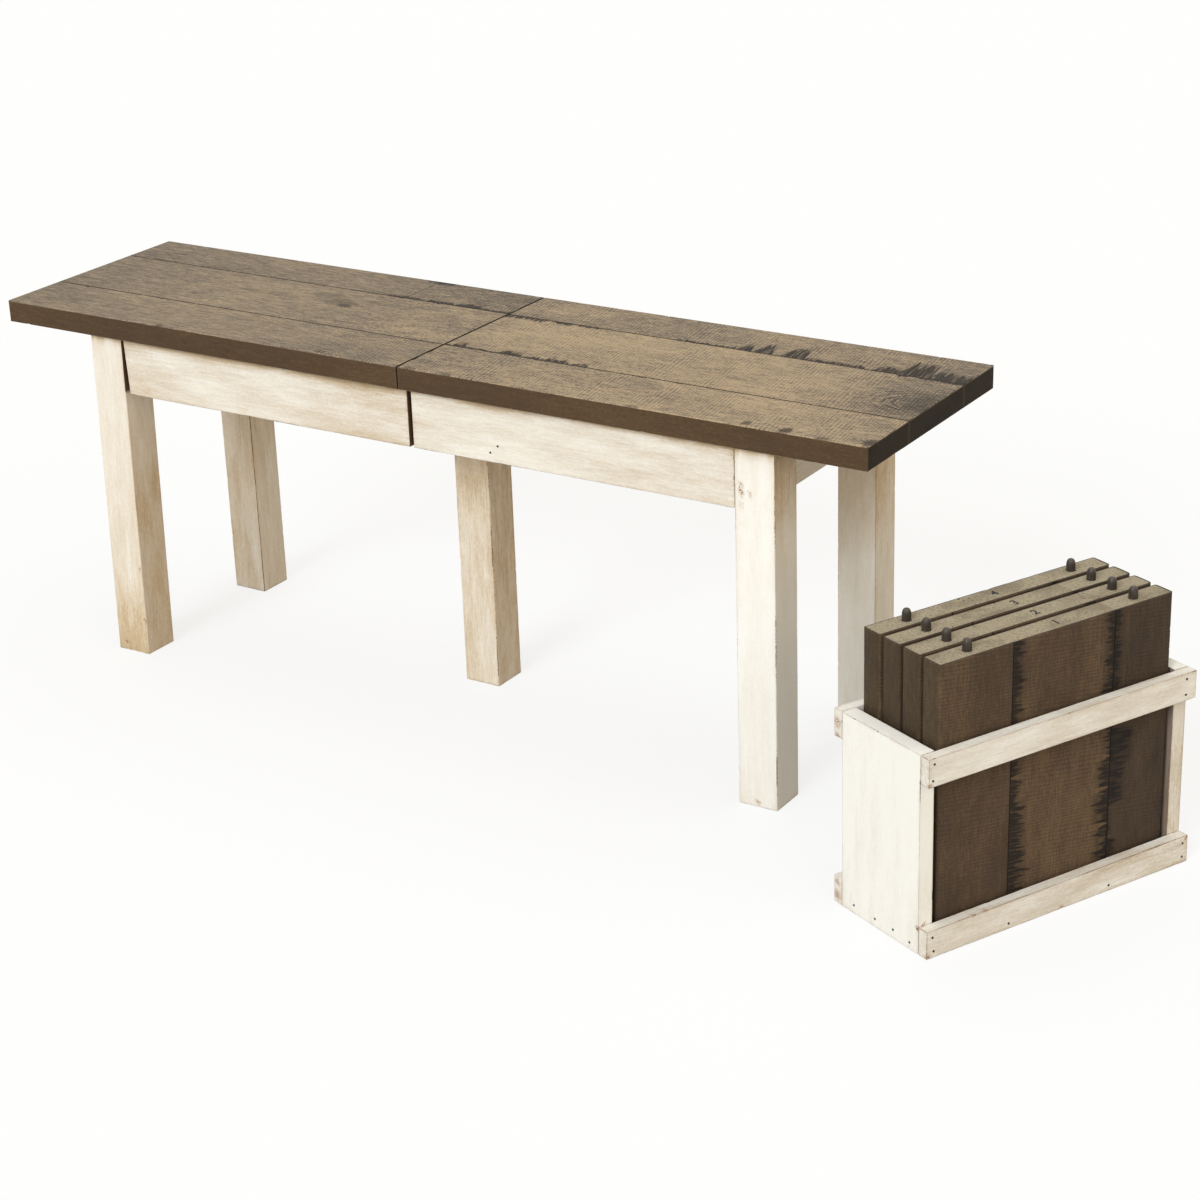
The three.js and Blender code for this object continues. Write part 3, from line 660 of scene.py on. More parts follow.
def swirl_lines(wire, where):
    """Curved grain round a buried knot at the right end of the seat."""
    bend = wire.noise(where, (34, 34, 34))
    away = wire.group("spot", Place=where, Raggedness=0.0, Centre=SWIRL_CENTRE,
                      Size=SWIRL_SIZE)["Distance"]
    bent = wire.plus(away, wire.times(wire.minus(bend, 0.5), 0.5))
    rings = wire.math("SINE", wire.times(bent, 2 * math.pi * SWIRL_RINGS))
    fade = wire.step(away, 1.35, 0.45)
    break_up = wire.step(bend, 0.35, 0.6, 0.2, 1.0)
    return wire.times(wire.times(wire.step(rings, 0.2, 1.0, 0.0, 0.95), fade), break_up)


def score_lines(wire, where):
    """Three dark saw scores across the left back board."""
    x, y, z = wire.parts(where)
    x = wire.minus(x, split_x)
    low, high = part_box("left_back_board")
    on_board = wire.times(wire.step(y, low.y, low.y + MM), wire.step(z, low.z, low.z + MM))
    scores = 0.0
    for at, width, strength in SCORE_LINES:
        away = wire.math("ABSOLUTE", wire.minus(x, at * MM))
        line = wire.step(away, 1.6 * width * MM, 0.3 * width * MM, 0.0, strength)
        scores = wire.most(line, scores)
    return wire.times(scores, on_board)


def narrow_face_material(name, base, shade, light):
    """Planed and stained edge of a board."""
    material, wire, shader = new_material(name)
    edge = wire.group("edge", Place=wire.board_place(), Base=opaque(base),
                      Near_edge=wire.attribute("near_edge"), Shade=opaque(shade), Light=opaque(light))
    rough = wire.step(edge["Streaks"], 0.3, 0.7, 0.7, 0.58)
    dress(wire, shader, edge["Colour"], rough, edge["Height"], 0.08 * MM, specular=0.15)
    return material


def end_grain_material(name, base, shade, edge):
    """Sawn and stained end of a board."""
    material, wire, shader = new_material(name)
    end = wire.group("end", Place=wire.board_place(), Base=opaque(base),
                     Near_edge=wire.attribute("near_edge"), Shade=opaque(shade), Edge=opaque(edge))
    dress(wire, shader, end["Colour"], 0.75, end["Height"], 0.1 * MM, specular=0.1)
    return material


# Thinned paint round a rubbed place.
RUB_HALO = colour(206, 158, 118)


def paint_material(name, look, glaze_amount, wear_amount, greyness):
    """Brushed cream paint, tan glaze and painted shade under the seat, rubbed through at arrises."""
    material, wire, shader = new_material(name)
    place, near_edge, rub = wire.board_place(), wire.attribute("near_edge"), wire.attribute("rub")
    grain = wire.group("grain", Place=place, Streak_width=5 * MM)
    bristles = wire.noise(place, (40, 480, 480), 4, 0.65)
    glaze = glaze_share(wire, place, near_edge, grain, bristles, glaze_amount)
    grey = sum(look.glaze) / 3
    tan = tuple(channel + (grey - channel) * greyness for channel in look.glaze)
    base = wire.mix(wire.held(glaze), opaque(look.cream), opaque(tan))
    base = wire.mix(wire.step(glaze, 0.8, 1.7, 0.0, 0.9), base, opaque(look.deep_glaze))
    base = with_arris_lines(wire, base, near_edge, bristles, look)
    base = wire.mix(wire.step(rub, 0.0, 0.7, 0.0, 0.45), base, opaque(RUB_HALO))
    bare = bare_share(wire, place, near_edge, rub, wear_amount)
    base = wire.mix(bare, base, opaque(look.bare))
    relief = wire.minus(wire.plus(bristles, wire.times(grain["Mottle"], 0.5)), wire.times(bare, 0.8))
    rough = wire.plus(wire.times(bare, 0.2), 0.55)
    dress(wire, shader, base, rough, relief, 0.1 * MM, specular=0.3)
    return material


def glaze_share(wire, place, near_edge, grain, bristles, amount):
    """How thick the glaze lies: uneven, thicker along the arrises and just under the seat, where
    painted shade is added in. The tone also carries painted shade on right-facing sides.
    """
    haze = wire.noise(place, (10, 60, 60), 5, 0.6)
    share = wire.attribute("tone")
    uneven = weighed(wire, (grain["Clouds"], 0.8), (haze, 0.9), (grain["Streaks"], 0.4),
                     (bristles, 0.7), (grain["Mottle"], 0.7))
    strength = wire.times(wire.step(share, -0.2, 1.2, 0.3, 1.6), amount)
    edge_band = wire.step(near_edge, 6 * MM, 0.0, 0.0, 0.16)
    height = wire.parts(wire.object_place())[Z]
    # A band just under the seat: glaze gathered there, and painted shade from the seat.
    glaze_and_shade_under_seat = wire.step(height, frame_top - 18 * MM, frame_top - 1 * MM, 0.0, 0.75)
    ragged = wire.step(haze, 0.35, 0.6, 0.3, 1.0)
    thicker_and_shaded = wire.times(wire.plus(glaze_and_shade_under_seat, edge_band), ragged)
    return wire.plus(wire.plus(wire.times(uneven, strength), share), thicker_and_shaded)


def with_arris_lines(wire, base, near_edge, bristles, look):
    """The paint with its thin line along the arrises: glaze where the strength is above 0, and a
    pale painted highlight where it is below 0.
    """
    line = wire.times(wire.step(near_edge, 1.3 * MM, 0.5 * MM),
                      wire.step(bristles, 0.3, 0.5, 0.5, 1.0))
    strength = wire.attribute("arris_line")
    dark_line = wire.times(line, wire.most(strength, 0.0))
    highlight_line = wire.times(line, wire.most(wire.times(strength, -1.0), 0.0))
    base = wire.mix(dark_line, base, opaque(look.edge_glaze))
    base = wire.mix(wire.step(dark_line, 0.5, 1.0, 0.0, 0.9), base, opaque(look.bare))
    return wire.mix(highlight_line, base, opaque(look.cream))


def bare_share(wire, place, near_edge, rub, amount):
    """Where wood shows: on worn arrises, in rubbed places and inside an open joint. Its brown is
    also painted as shade on the crate's inner sides.
    """
    wear = wire.group("edge wear", Place=place, Near_edge=near_edge, Amount=amount)
    specks = wire.noise(place, (420, 900, 900), 4, 0.7)
    broken = wire.times(wire.step(wire.plus(specks, wire.times(rub, 0.2)), 0.62, 0.68),
                        wire.step(rub, 0.02, 0.3, 0.0, 0.9))
    bare = wire.most(wire.times(wear["Rubbed"], 0.85), broken)
    return wire.most(bare, wire.times(wire.attribute("in_joint_and_shade"), 0.97))


def maple_material():
    """Waxed bare maple of the slides, braces and blocks."""
    material, wire, shader = new_material("waxed maple")
    grain = wire.group("grain", Place=wire.board_place(), Streak_width=6 * MM)
    light, dark = opaque(colour(214, 183, 140)), opaque(colour(180, 144, 101))
    base = wire.mix(wire.step(grain["Streaks"], 0.3, 0.75), light, dark)
    base = wire.mix(wire.step(grain["Fibres"], 0.6, 0.4, 0.0, 0.3), base, dark)
    base = wire.mix(wire.times(grain["Rings"], 0.18), base, dark)
    rough = wire.step(grain["Streaks"], 0.3, 0.7, 0.42, 0.55)
    dress(wire, shader, base, rough, grain["Fibres"], 0.05 * MM)
    return material


def zinc_material():
    """Zinc plate with a faint spangle."""
    material, wire, shader = new_material("zinc plate")
    spangle = wire.noise(wire.object_place(), (260, 260, 260))
    bright, dull = opaque(colour(196, 197, 196)), opaque(colour(150, 149, 145))
    shader.inputs["Metallic"].default_value = 1.0
    dress(wire, shader, wire.mix(wire.step(spangle, 0.35, 0.65), bright, dull),
          wire.step(spangle, 0.35, 0.65, 0.28, 0.5), spangle, 0.05 * MM)
    return material


def pin_material(look):
    """Turned, stained dowel with a painted highlight on its nose."""
    material, wire, shader = new_material("pin stain")
    grain = wire.group("grain", Place=wire.board_place(), Streak_width=1.6 * MM)
    base = wire.mix(wire.step(grain["Streaks"], 0.3, 0.7), opaque(shade_of(look.pin, 0.55)),
                    opaque(look.pin))
    # The nose is lighter: a painted highlight.
    nose = wire.step(wire.attribute("near_edge"), 3 * MM, 0.0, 0.0, 0.5)
    base = wire.mix(nose, base, opaque(shade_of(look.pin, 2.2)))
    rough = wire.step(grain["Streaks"], 0.3, 0.7, 0.5, 0.38)
    dress(wire, shader, base, rough, grain["Fibres"], 0.05 * MM, specular=0.3)
    return material


def plain_dark_material(name, tint):
    """Putty over a brad, or the ink of a stamped number."""
    material, wire, shader = new_material(name)
    grit = wire.noise(wire.object_place(), (900, 900, 900), 2)
    base = wire.mix(wire.step(grit, 0.45, 0.8), opaque(tint), opaque(shade_of(tint, 1.5)))
    dress(wire, shader, base, 0.8, grit, 0.05 * MM)
    return material


def merged_copy(node, turn):
    """A CAD node's mesh as one closed body, turned so that its faces lie along the axes."""
    shape = bmesh.new()
    shape.from_mesh(frame["nodes"][node].data)
    bmesh.ops.remove_doubles(shape, verts=shape.verts, dist=WELD)
    bmesh.ops.dissolve_limit(shape, angle_limit=FLAT_ANGLE, verts=shape.verts, edges=shape.edges)
    bmesh.ops.rotate(shape, matrix=Matrix.Rotation(-turn, 3, "Z"), verts=shape.verts)
    return shape


def corners(points):
    """Lowest and highest corner of some points."""
    low = Vector([min(point[axis] for point in points) for axis in (X, Y, Z)])
    high = Vector([max(point[axis] for point in points) for axis in (X, Y, Z)])
    return low, high


def extent(shape):
    return corners([vert.co for vert in shape.verts])


def local_box(nodes, turn):
    """Lowest and highest corner of some nodes, in axes turned about Z."""
    back = Matrix.Rotation(-turn, 3, "Z")
    return corners([back @ vert.co for node in nodes for vert in frame["nodes"][node].data.vertices])


def cut_at(shape, axis, places):
    """Cuts the faces along planes across one axis, and leaves the form as it is."""
    normal = Vector((0, 0, 0))
    normal[axis] = 1
    for place in places:
        geometry = shape.verts[:] + shape.edges[:] + shape.faces[:]
        bmesh.ops.bisect_plane(shape, geom=geometry, dist=WELD, plane_co=normal * place,
                               plane_no=normal)


def even_places(low, high, step, margin):
    """Places from one margin to the other, about a step apart."""
    count = max(1, round((high - low - 2 * margin) / step))
    return [low + margin + (high - low - 2 * margin) * i / count for i in range(count + 1)]


# More cuts than the first number are made in two rounds. An edge runs along an axis where this
# share of its length does.
MOST_CUTS, STRAIGHT = 60, 0.99999


def cut_lengthways(shape, axis, step, shortest):
    """Splits the long edges that run along one axis, all alike, in two rounds where the cuts
    are many."""
    for attempt in range(2):
        long_edges = []
        for edge in shape.edges:
            run = edge.verts[1].co - edge.verts[0].co
            if abs(run[axis]) > max(shortest, run.length * STRAIGHT):
                long_edges.append(edge)
        if not long_edges:
            return
        cuts = round(max(edge.calc_length() for edge in long_edges) / step) - 1
        if attempt == 0:
            cuts = max(1, round(math.sqrt(cuts + 1)) - 1 if cuts > MOST_CUTS else cuts)
        if cuts > 0:
            bmesh.ops.subdivide_edges(shape, edges=long_edges, cuts=cuts, use_grid_fill=True)


def round_corner(shape, side_x, side_y, radius):
    """Rounds the upright corner of a board that lies on the given sides, -1 or 1, of its middle."""
    low, high = extent(shape)
    centre_x = (high.x if side_x > 0 else low.x) - side_x * radius
    centre_y = (high.y if side_y > 0 else low.y) - side_y * radius
    for vert in shape.verts:
        out_x, out_y = (vert.co.x - centre_x) * side_x, (vert.co.y - centre_y) * side_y
        away = math.hypot(out_x, out_y)
        if out_x > 0 and out_y > 0 and away > radius:
            vert.co.x = centre_x + side_x * out_x * radius / away
            vert.co.y = centre_y + side_y * out_y * radius / away


def soften(shape, width):
    """Rounds the sharp outer edges."""
    sharp = [edge for edge in shape.edges
             if edge.is_convex and edge.is_manifold and edge.calc_face_angle() > SHARP_ANGLE]
    bmesh.ops.bevel(shape, geom=sharp, offset=width, segments=2, profile=0.5, affect="EDGES",
                    clamp_overlap=True, material=-1)


def wall_distances(point, low, high):
    """How far a point lies from each side of a box, nearest first."""
    return sorted([point.x - low.x, high.x - point.x, point.y - low.y, high.y - point.y,
                   point.z - low.z, high.z - point.z])


class Streaks:
    """Dark streaks on one board. Each gives its start and end as shares of the board's length,
    how far it reaches in, and whether it starts at the board's low or high edge."""

    longest_ease = 0.012

    def __init__(self, rows):
        self.rows = rows

    def at(self, share, from_low, from_high):
        """Reach and distance at a share of the length, for the edge whose streak is strongest."""
        best_reach, best_distance = 0.0, 1.0
        best = -1.0
        for start, end, reach, edge in self.rows:
            ease = min(self.longest_ease, (end - start) / 3)
            rise = min(1.0, max(0.0, (share - start) / ease), max(0.0, (end - share) / ease))
            local = reach * MM * rise
            distance = from_low if edge == "low" else from_high
            if local > 0 and local - distance > best:
                best = local - distance
                best_reach, best_distance = local, distance
        return best_reach, best_distance


# Seam stain on the seat boards, in the terms of Streaks, with the reach in millimetres.
SEAT_STREAKS = {
    "right_back_board": (
        (0.0, 0.3, 2.5, "low"), (0.38, 0.53, 8, "low"), (0.52, 0.555, 30, "low"),
        (0.555, 0.6, 34, "low"), (0.615, 0.67, 42, "low"), (0.66, 0.8, 12, "low"),
        (0.81, 0.87, 26, "low"), (0.86, 0.93, 52, "low"), (0.92, 1.01, 34, "low")),
    "right_middle_board": (
        (-0.01, 0.1, 14, "high"), (0.1, 0.23, 8, "high"), (0.125, 0.155, 11, "high"),
        (0.86, 0.9, 7, "high"), (0.9, 1.01, 7, "high"),
        (-0.01, 0.34, 6, "low"), (0.01, 0.05, 22, "low"), (0.12, 0.18, 17, "low"),
        (0.19, 0.22, 12, "low"), (0.22, 0.29, 14, "low"), (0.29, 0.33, 15, "low")),
    "left_back_board": (
        (0.6, 0.67, 4, "low"), (0.69, 0.79, 11, "low"), (0.79, 0.87, 9, "low"),
        (0.865, 0.94, 17, "low"), (0.93, 1.01, 8, "low"),
        (0.71, 0.79, 16, "high"), (0.81, 0.87, 4, "high")),
    "left_middle_board": ((0.3, 0.99, 1.2, "low"),),
    "right_front_board": ((0.0, 0.5, 1.5, "high"), (0.5, 0.99, 1.0, "high")),
}
# Tone of each board at even steps from its left end: above 0 golden, below 0 grey.
SEAT_TONES = {
    "left_front_board": (-0.25, -0.05, 0.05, 0.0, -0.15, -0.1),
    "left_middle_board": (-0.3, -0.1, 0.05, 0.1, 0.0, 0.05),
    "left_back_board": (-0.35, -0.25, -0.05, -0.05, -0.3, -0.4),
    "right_front_board": (0.15, 0.25, 0.25, 0.45, 0.45, 0.25),
    "right_middle_board": (0.25, 0.5, 0.6, 0.5, 0.35, -0.25),
    "right_back_board": (0.0, 0.05, 0.0, 0.1, 0.0, -0.2),
}

# Rubbed places on the painted pieces: a point, and how far the rub reaches across and up.
RUBBED_SPOTS = (
    ((450, -158, 388), (4, 3)), ((449.5, -158, 380), (3.5, 8)), ((461, -158, 378), (3, 4)),
    ((447.5, -158, 364), (3.5, 13)), ((447.5, -158, 343), (3, 8)), ((497, -158, 378), (3, 11)),
    ((-442, -158, 47), (2, 6)), ((-442, -158, 120), (1.5, 8)), ((-442, -136, 52), (4, 5)),
    ((-478, -158, 12), (6, 5)), ((-442, -150, 362), (4, 4)), ((467, -158, 6), (5, 5)),
)

# The same on the crate: along its front, back from its front, and up.
CRATE_RUBBED_SPOTS = (
    ((0, 149, 212), (9, 9)), ((0, 149, 196), (7, 7)), ((0, 149, 10), (9, 9)), ((0, 149, 26), (7, 7)),
    ((0, 13, 209), (2.5, 4)), ((1, 0, 196), (4, 3)), ((2, 1, 3), (6, 6)), ((62, 0, 32), (5, 3)),
    ((45, 0, 32), (4, 3)), ((78, 0, 32), (5, 3)), ((341, 14, 48), (4, 5)), ((339, 14, 90), (3, 5)),
    ((358, 0, 30), (3, 4)), ((8, 13, 34), (4, 3)), ((0, 15, 30), (4, 5)), ((180, 0, 1), (7, 3)),
    ((250, 0, 0), (7, 3)), ((20, 14, 180), (3, 5)),
)


def rubbed_places():
    """Centre and reach, across and up, of every rubbed place."""
    corner = local_box(["crate_front_bottom_slat"], crate_turn)[0]
    to_frame = Matrix.Rotation(crate_turn, 3, "Z")
    places = [(Vector(centre) * MM + Vector((split_x, 0, 0)), Vector(reach) * MM)
              for centre, reach in RUBBED_SPOTS]
    places += [(to_frame @ (corner + Vector(centre) * MM), Vector(reach) * MM)
               for centre, reach in CRATE_RUBBED_SPOTS]
    return places


rubbed = rubbed_places()


def along(values, share):
    """The value at a share of the way through evenly spaced values."""
    place = min(max(share, 0.0), 1.0) * (len(values) - 1)
    first = min(int(place), len(values) - 1)
    last = min(first + 1, len(values) - 1)
    return values[first] + (values[last] - values[first]) * (place - first)


def new_layers(shape, *names):
    return [shape.verts.layers.float.new(name) for name in names]


# How far one board of a leaf lies from the board before it in the grain.
BOARD_SHIFT = Vector((0.37, 0.61, 0.23))


def write_place(shape, grain_axis, wide_axis, shift, tones=((0.0,),), seams=(), side_tone_and_shade=None):
    """Stores each point's place along the grain, its distance to the nearest arris and its tone.
    seams are places across the piece where one board of it meets the next. tones has, for each
    board, the tone of a stain or the share of a glaze at even steps along the grain.
    side_tone_and_shade has the same for the side that faces right, where it differs, and carries
    painted shade under the seat's overhang."""
    place_layer = shape.verts.layers.float_vector.new("place")
    edge_layer, tone_layer = new_layers(shape, "near_edge", "tone")
    low, high = extent(shape)
    across_axis = 3 - grain_axis - wide_axis
    shifts = [shift + BOARD_SHIFT * board for board in range(len(seams) + 1)]
    length = high[grain_axis] - low[grain_axis]
    for vert in shape.verts:
        point = vert.co
        board = sum(1 for seam in seams if point[across_axis] > seam)
        from_corner = point - low
        vert[place_layer] = shifts[board] + Vector(
            (from_corner[grain_axis], from_corner[across_axis], from_corner[wide_axis]))
        vert[edge_layer] = wall_distances(point, low, high)[1]
        row = side_tone_and_shade if side_tone_and_shade and vert.normal.x > FACING else tones[board]
        vert[tone_layer] = along(row, from_corner[grain_axis] / length)


# A line where pieces meet end to end is drawn thinner, and one where they lie side by side wider.
END_JOIN, SIDE_JOIN = 1.2, 0.8


def write_stain(shape, grain_axis, wide_axis, rows, saw_strength, seams=(), joins=()):
    """Stores the reach of the seam stain, the distance to the nearest seam and the strength of
    the saw marks. rows has the streaks of each board, and saw_strength gives that strength at a
    share of the length. joins has places (axis, place) where the piece meets its neighbour."""
    reach_layer, distance_layer, seam_layer, saw_layer = new_layers(
        shape, "stain_reach", "stain_distance", "near_seam", "saw_strength")
    low, high = extent(shape)
    across_axis = 3 - grain_axis - wide_axis
    board_sides = [low[across_axis], *seams, high[across_axis]]
    length = high[grain_axis] - low[grain_axis]
    for vert in shape.verts:
        point = vert.co
        across = point[across_axis]
        board = sum(1 for seam in seams if across > seam)
        share = (point[grain_axis] - low[grain_axis]) / length
        vert[reach_layer], vert[distance_layer] = rows[board].at(
            share, across - board_sides[board], board_sides[board + 1] - across)
        meetings = [abs(across - seam) for seam in seams]
        meetings += [abs(point[axis] - place) * (END_JOIN if axis == grain_axis else SIDE_JOIN)
                     for axis, place in joins]
        vert[seam_layer] = min(meetings, default=1.0)
        vert[saw_layer] = saw_strength(share)


def write_wear(shape, turn, line, joint_and_shade):
    """Stores the rubbed places, the strength of the line along the arrises, dark glaze above 0 and a
    painted highlight below 0, where a piece lies dark inside a joint, and where painted shade lies
    on the crate's inner sides. joint_and_shade tells the last two for a point and its normal."""
    rub_layer, line_layer, joint_and_shade_layer = new_layers(shape, "rub", "arris_line", "in_joint_and_shade")
    low, high = extent(shape)
    forward = Matrix.Rotation(turn, 3, "Z")
    middle = forward @ ((low + high) / 2)
    reach_out = (high - low).length / 2
    spots = [(centre, reach) for centre, reach in rubbed
             if (middle - centre).length < reach_out + reach.length]
    for vert in shape.verts:
        point = forward @ vert.co
        rub = 0.0
        for centre, (across, up) in spots:
            offset = point - centre
            rub = max(rub, 1 - math.hypot(offset.x / across, offset.y / across, offset.z / up))
        vert[rub_layer] = rub
        vert[line_layer] = line
        vert[joint_and_shade_layer] = joint_and_shade(point, vert.normal) if joint_and_shade else 0.0


# How often each kind of unevenness changes, to the metre.
HOLLOW_RATE, NICK_RATE, NICK_PATCH_RATE = 22, 210, 35
# Nicks reach this far in from an arris, start above this noise and deepen this steeply. The last
# number is how much they come in patches.
NICK_ZONE, NICK_LIMIT, NICK_STEEPNESS, NICK_PATCHINESS = 4 * MM, 0.42, 2.2, 0.6


def weather(shape, grain_axis, wide_axis, seed, nick_depth, saw_pitch=0.0, saw_depth=0.0,
            sag=0.05 * MM):
    """Moves points inwards a little: saw marks on the wide faces, nicked arrises, and faces
    that aren't quite flat."""
    low, high = extent(shape)
    across_axis = 3 - grain_axis - wide_axis
    start = Vector((seed * 3.1, seed * 1.7, seed * 0.9))
    moves = []
    for vert in shape.verts:
        point = vert.co
        from_arris = wall_distances(point, low, high)[1]
        depth = sag * (0.5 + 0.5 * noise.noise(point * HOLLOW_RATE + start))
        top_gap = min(point[wide_axis] - low[wide_axis], high[wide_axis] - point[wide_axis])
        if saw_depth and top_gap < 10 * WELD:
            phase = saw_phase(point[grain_axis] - low[grain_axis],
                              point[across_axis] - low[across_axis], saw_pitch)
            depth += saw_depth * (0.5 - 0.5 * math.sin(2 * math.pi * phase))
        if from_arris < NICK_ZONE:
            fine = noise.noise(point * NICK_RATE + start)
            broad = noise.noise(point * NICK_PATCH_RATE - start)
            above = max(0.0, fine + NICK_PATCHINESS * broad - NICK_LIMIT)
            chip = min(1.0, above * NICK_STEEPNESS)
            depth += nick_depth * chip * (1 - from_arris / NICK_ZONE)
        moves.append((vert, -vert.normal * depth))
    for vert, move in moves:
        vert.co += move


def place_of(number):
    """A numbered board's own shift in the grain, so that no two boards look alike."""
    draw = random.Random(SEED + number)
    return Vector((draw.uniform(0, 3), draw.uniform(0, 3), draw.uniform(0, 3)))


def new_piece(shape, name, materials, body, node=None):
    """Makes a smooth-shaded piece that rides on a body and stands for its node, if it has one."""
    for face in shape.faces:
        face.smooth = True
    mesh = bpy.data.meshes.new(name)
    shape.to_mesh(mesh)
    shape.free()
    mesh.set_sharp_from_angle(angle=SMOOTH_ANGLE)
    for material in materials:
        mesh.materials.append(material)
    piece = bpy.data.objects.new(name, mesh)
    bpy.context.scene.collection.objects.link(piece)
    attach(piece, body)
    if node:
        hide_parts(node)


def finish_piece(shape, name, node, materials, grain_axis, wide_axis, turn):
    """Gives the wide, narrow and end faces of a board their materials and turns it back."""
    wide, narrow, end = range(3) if len(materials) > 1 else (0, 0, 0)
    for face in shape.faces:
        if abs(face.normal[grain_axis]) > END_FACING:
            face.material_index = end
        else:
            face.material_index = wide if abs(face.normal[wide_axis]) > FACING else narrow
    bmesh.ops.rotate(shape, matrix=Matrix.Rotation(turn, 3, "Z"), verts=shape.verts)
    new_piece(shape, name, materials, frame["nodes"][node]["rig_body"], node)


MATERIALS = {}


def made_once(kind, maker, *values):
    """The material or materials of a kind, made when they are first asked for."""
    if kind not in MATERIALS:
        MATERIALS[kind] = maker(*values)
    return MATERIALS[kind]


def seat_stains():
    """Face, edge and end materials of the seat boards."""
    look = bpy.context.scene.bench_seat
    return [sawn_face_material("seat sawn face", look, look.stain, softness=1.0, cloudiness=1.1,
                               streakiness=1.0, speckle=1.0, spots=SEAT_SPOTS),
            narrow_face_material("seat edge", look.edge, look.stain, look.edge_light),
            # The end grain's arris line is lighter: worn stain and a painted highlight.
            end_grain_material("seat end grain", look.end, shade_of(look.end, 0.45),
                               shade_of(look.end, 1.7))]


def leaf_stains():
    """Face, edge and end materials of the leaves."""
    look = bpy.context.scene.bench_leaf
    stain = shade_of(bpy.context.scene.bench_seat.stain, 0.5)
    return [sawn_face_material("leaf sawn face", look, stain, softness=2.6, cloudiness=1.4,
                               streakiness=0.3, speckle=0.5),
            narrow_face_material("leaf edge", look.side, look.shaded, look.side_light),
            # The sawn ends' arris line is dark: stain, and painted shade from the gaps between the leaves.
            end_grain_material("leaf end grain", look.end, look.end_shade, look.shaded)]


# How uneven the glaze is on each kind of painted piece, how worn its arrises are, and how grey
# the glaze is.
PAINT_KINDS = {"leg paint": (0.85, 0.3, 0.0), "apron paint": (1.0, 0.25, 0.2),
               "crate paint": (1.2, 0.12, 0.35)}

# Share of glaze at even steps along the grain: legs and crate ends from the floor up, aprons
# from the left end. The crate's right end is darker towards the floor as painted shade beside
# the leaves.
GLAZE_AND_SHADE_SHARES = {
    "left_front_leg": (1.0, 0.65, 0.5, 0.4, 0.4), "left_back_leg": (0.68, 0.65, 0.68, 0.85),
    "centre_leg": (0.65, 0.75, 0.85, 0.75), "right_front_leg": (0.28, 0.12, 0.05, 0.1, 0.22),
    "right_back_leg": (0.12, 0.12, 0.25, 0.5, 0.6), "left_end_apron": (0.5,),
    "left_front_apron": (0.6, 0.5, 0.55, 0.7), "right_front_apron": (0.5, 0.42, 0.45, 0.55),
    "right_end_apron": (0.5,), "crate_left_end": (0.1, 0.02, 0.0), "crate_front_top_slat": (0.45,),
    "crate_front_bottom_slat": (0.5, 0.5, 0.6, 0.8), "crate_right_end": (0.9, 0.5, 0.3),
}
# The same for the side that faces right. On the right legs it rises at the top into painted
# shade under the seat's overhang.
RIGHT_SIDE_GLAZE_AND_SHADE = {
    "left_front_leg": (0.7, 0.7, 0.75, 0.45, 0.35), "left_back_leg": (0.55, 0.6, 0.75, 0.75),
    "right_front_leg": (0.15, 0.0, 0.0, 0.35, 1.3), "right_back_leg": (0.3, 0.35, 0.5, 0.9, 1.35),
}

# How dark the line of glaze along a piece's arrises is, where it isn't 0.3. Below 0 it is a pale
# painted highlight.
ARRIS_LINES = {"left_front_leg": -0.8, "left_back_leg": 1.0, "right_front_leg": 0.35,
               "right_back_leg": 0.5, "right_front_apron": 0.12, "crate_left_end": 0.45,
               "crate_front_top_slat": 0.5, "crate_front_bottom_slat": 0.65,
               "crate_right_end": 0.5}


class SeatBoards(bpy.types.Operator):
    """Builds the six planks of the seat"""
    bl_idname = "extension_bench.seat_boards"
    bl_label = "Seat boards"

    # How round the outer corners are, where the mesh is cut for that, and how deep nicks are.
    ease = 3.2 * MM
    ease_shares = (0.15, 0.4, 0.7, 1.0)
    nick_depth = 0.9 * MM

    @staticmethod
    def left_saw_strength(share):
        """The left half is planed smoother, all but its right third."""
        smooth, rough, start, end = 0.3, 0.85, 0.62, 0.8
        return smooth + (rough - smooth) * min(1.0, max(0.0, (share - start) / (end - start)))

    def execute(self, context):
        for number, (side, row) in enumerate((side, row) for side in SIDES for row in ROWS):
            self.board(context.scene.bench_seat, number, side, row)
        return {"FINISHED"}

    def board(self, look, number, side, row):
        node = f"{side}_{row}_board"
        shape = merged_copy(node, 0.0)
        low, high = extent(shape)
        for axis in (Y, Z):
            cut_at(shape, axis, even_places(low[axis], high[axis], look.wide_step, self.ease))
        cut_at(shape, X, [low.x + share * self.ease for share in self.ease_shares])
        cut_at(shape, X, [high.x - share * self.ease for share in self.ease_shares])
        cut_lengthways(shape, X, look.saw_pitch / 3, 2 * self.ease)
        if row != "middle":
            round_corner(shape, -1 if side == "left" else 1, -1 if row == "front" else 1, self.ease)
        shape.normal_update()
        weather(shape, X, Z, number, self.nick_depth, look.saw_pitch, look.saw_depth)
        joins = [(X, high.x if side == "left" else low.x)]
        if row != "back":
            joins.append((Y, high.y))
        if row != "front":
            joins.append((Y, low.y))
        strength = self.left_saw_strength if side == "left" else lambda share: 1.0
        write_place(shape, X, Z, place_of(number), [SEAT_TONES[node]])
        write_stain(shape, X, Z, [Streaks(SEAT_STREAKS.get(node, ()))], strength, joins=joins)
        finish_piece(shape, f"{node}_plank", node, made_once("seat", seat_stains), X, Z, 0.0)


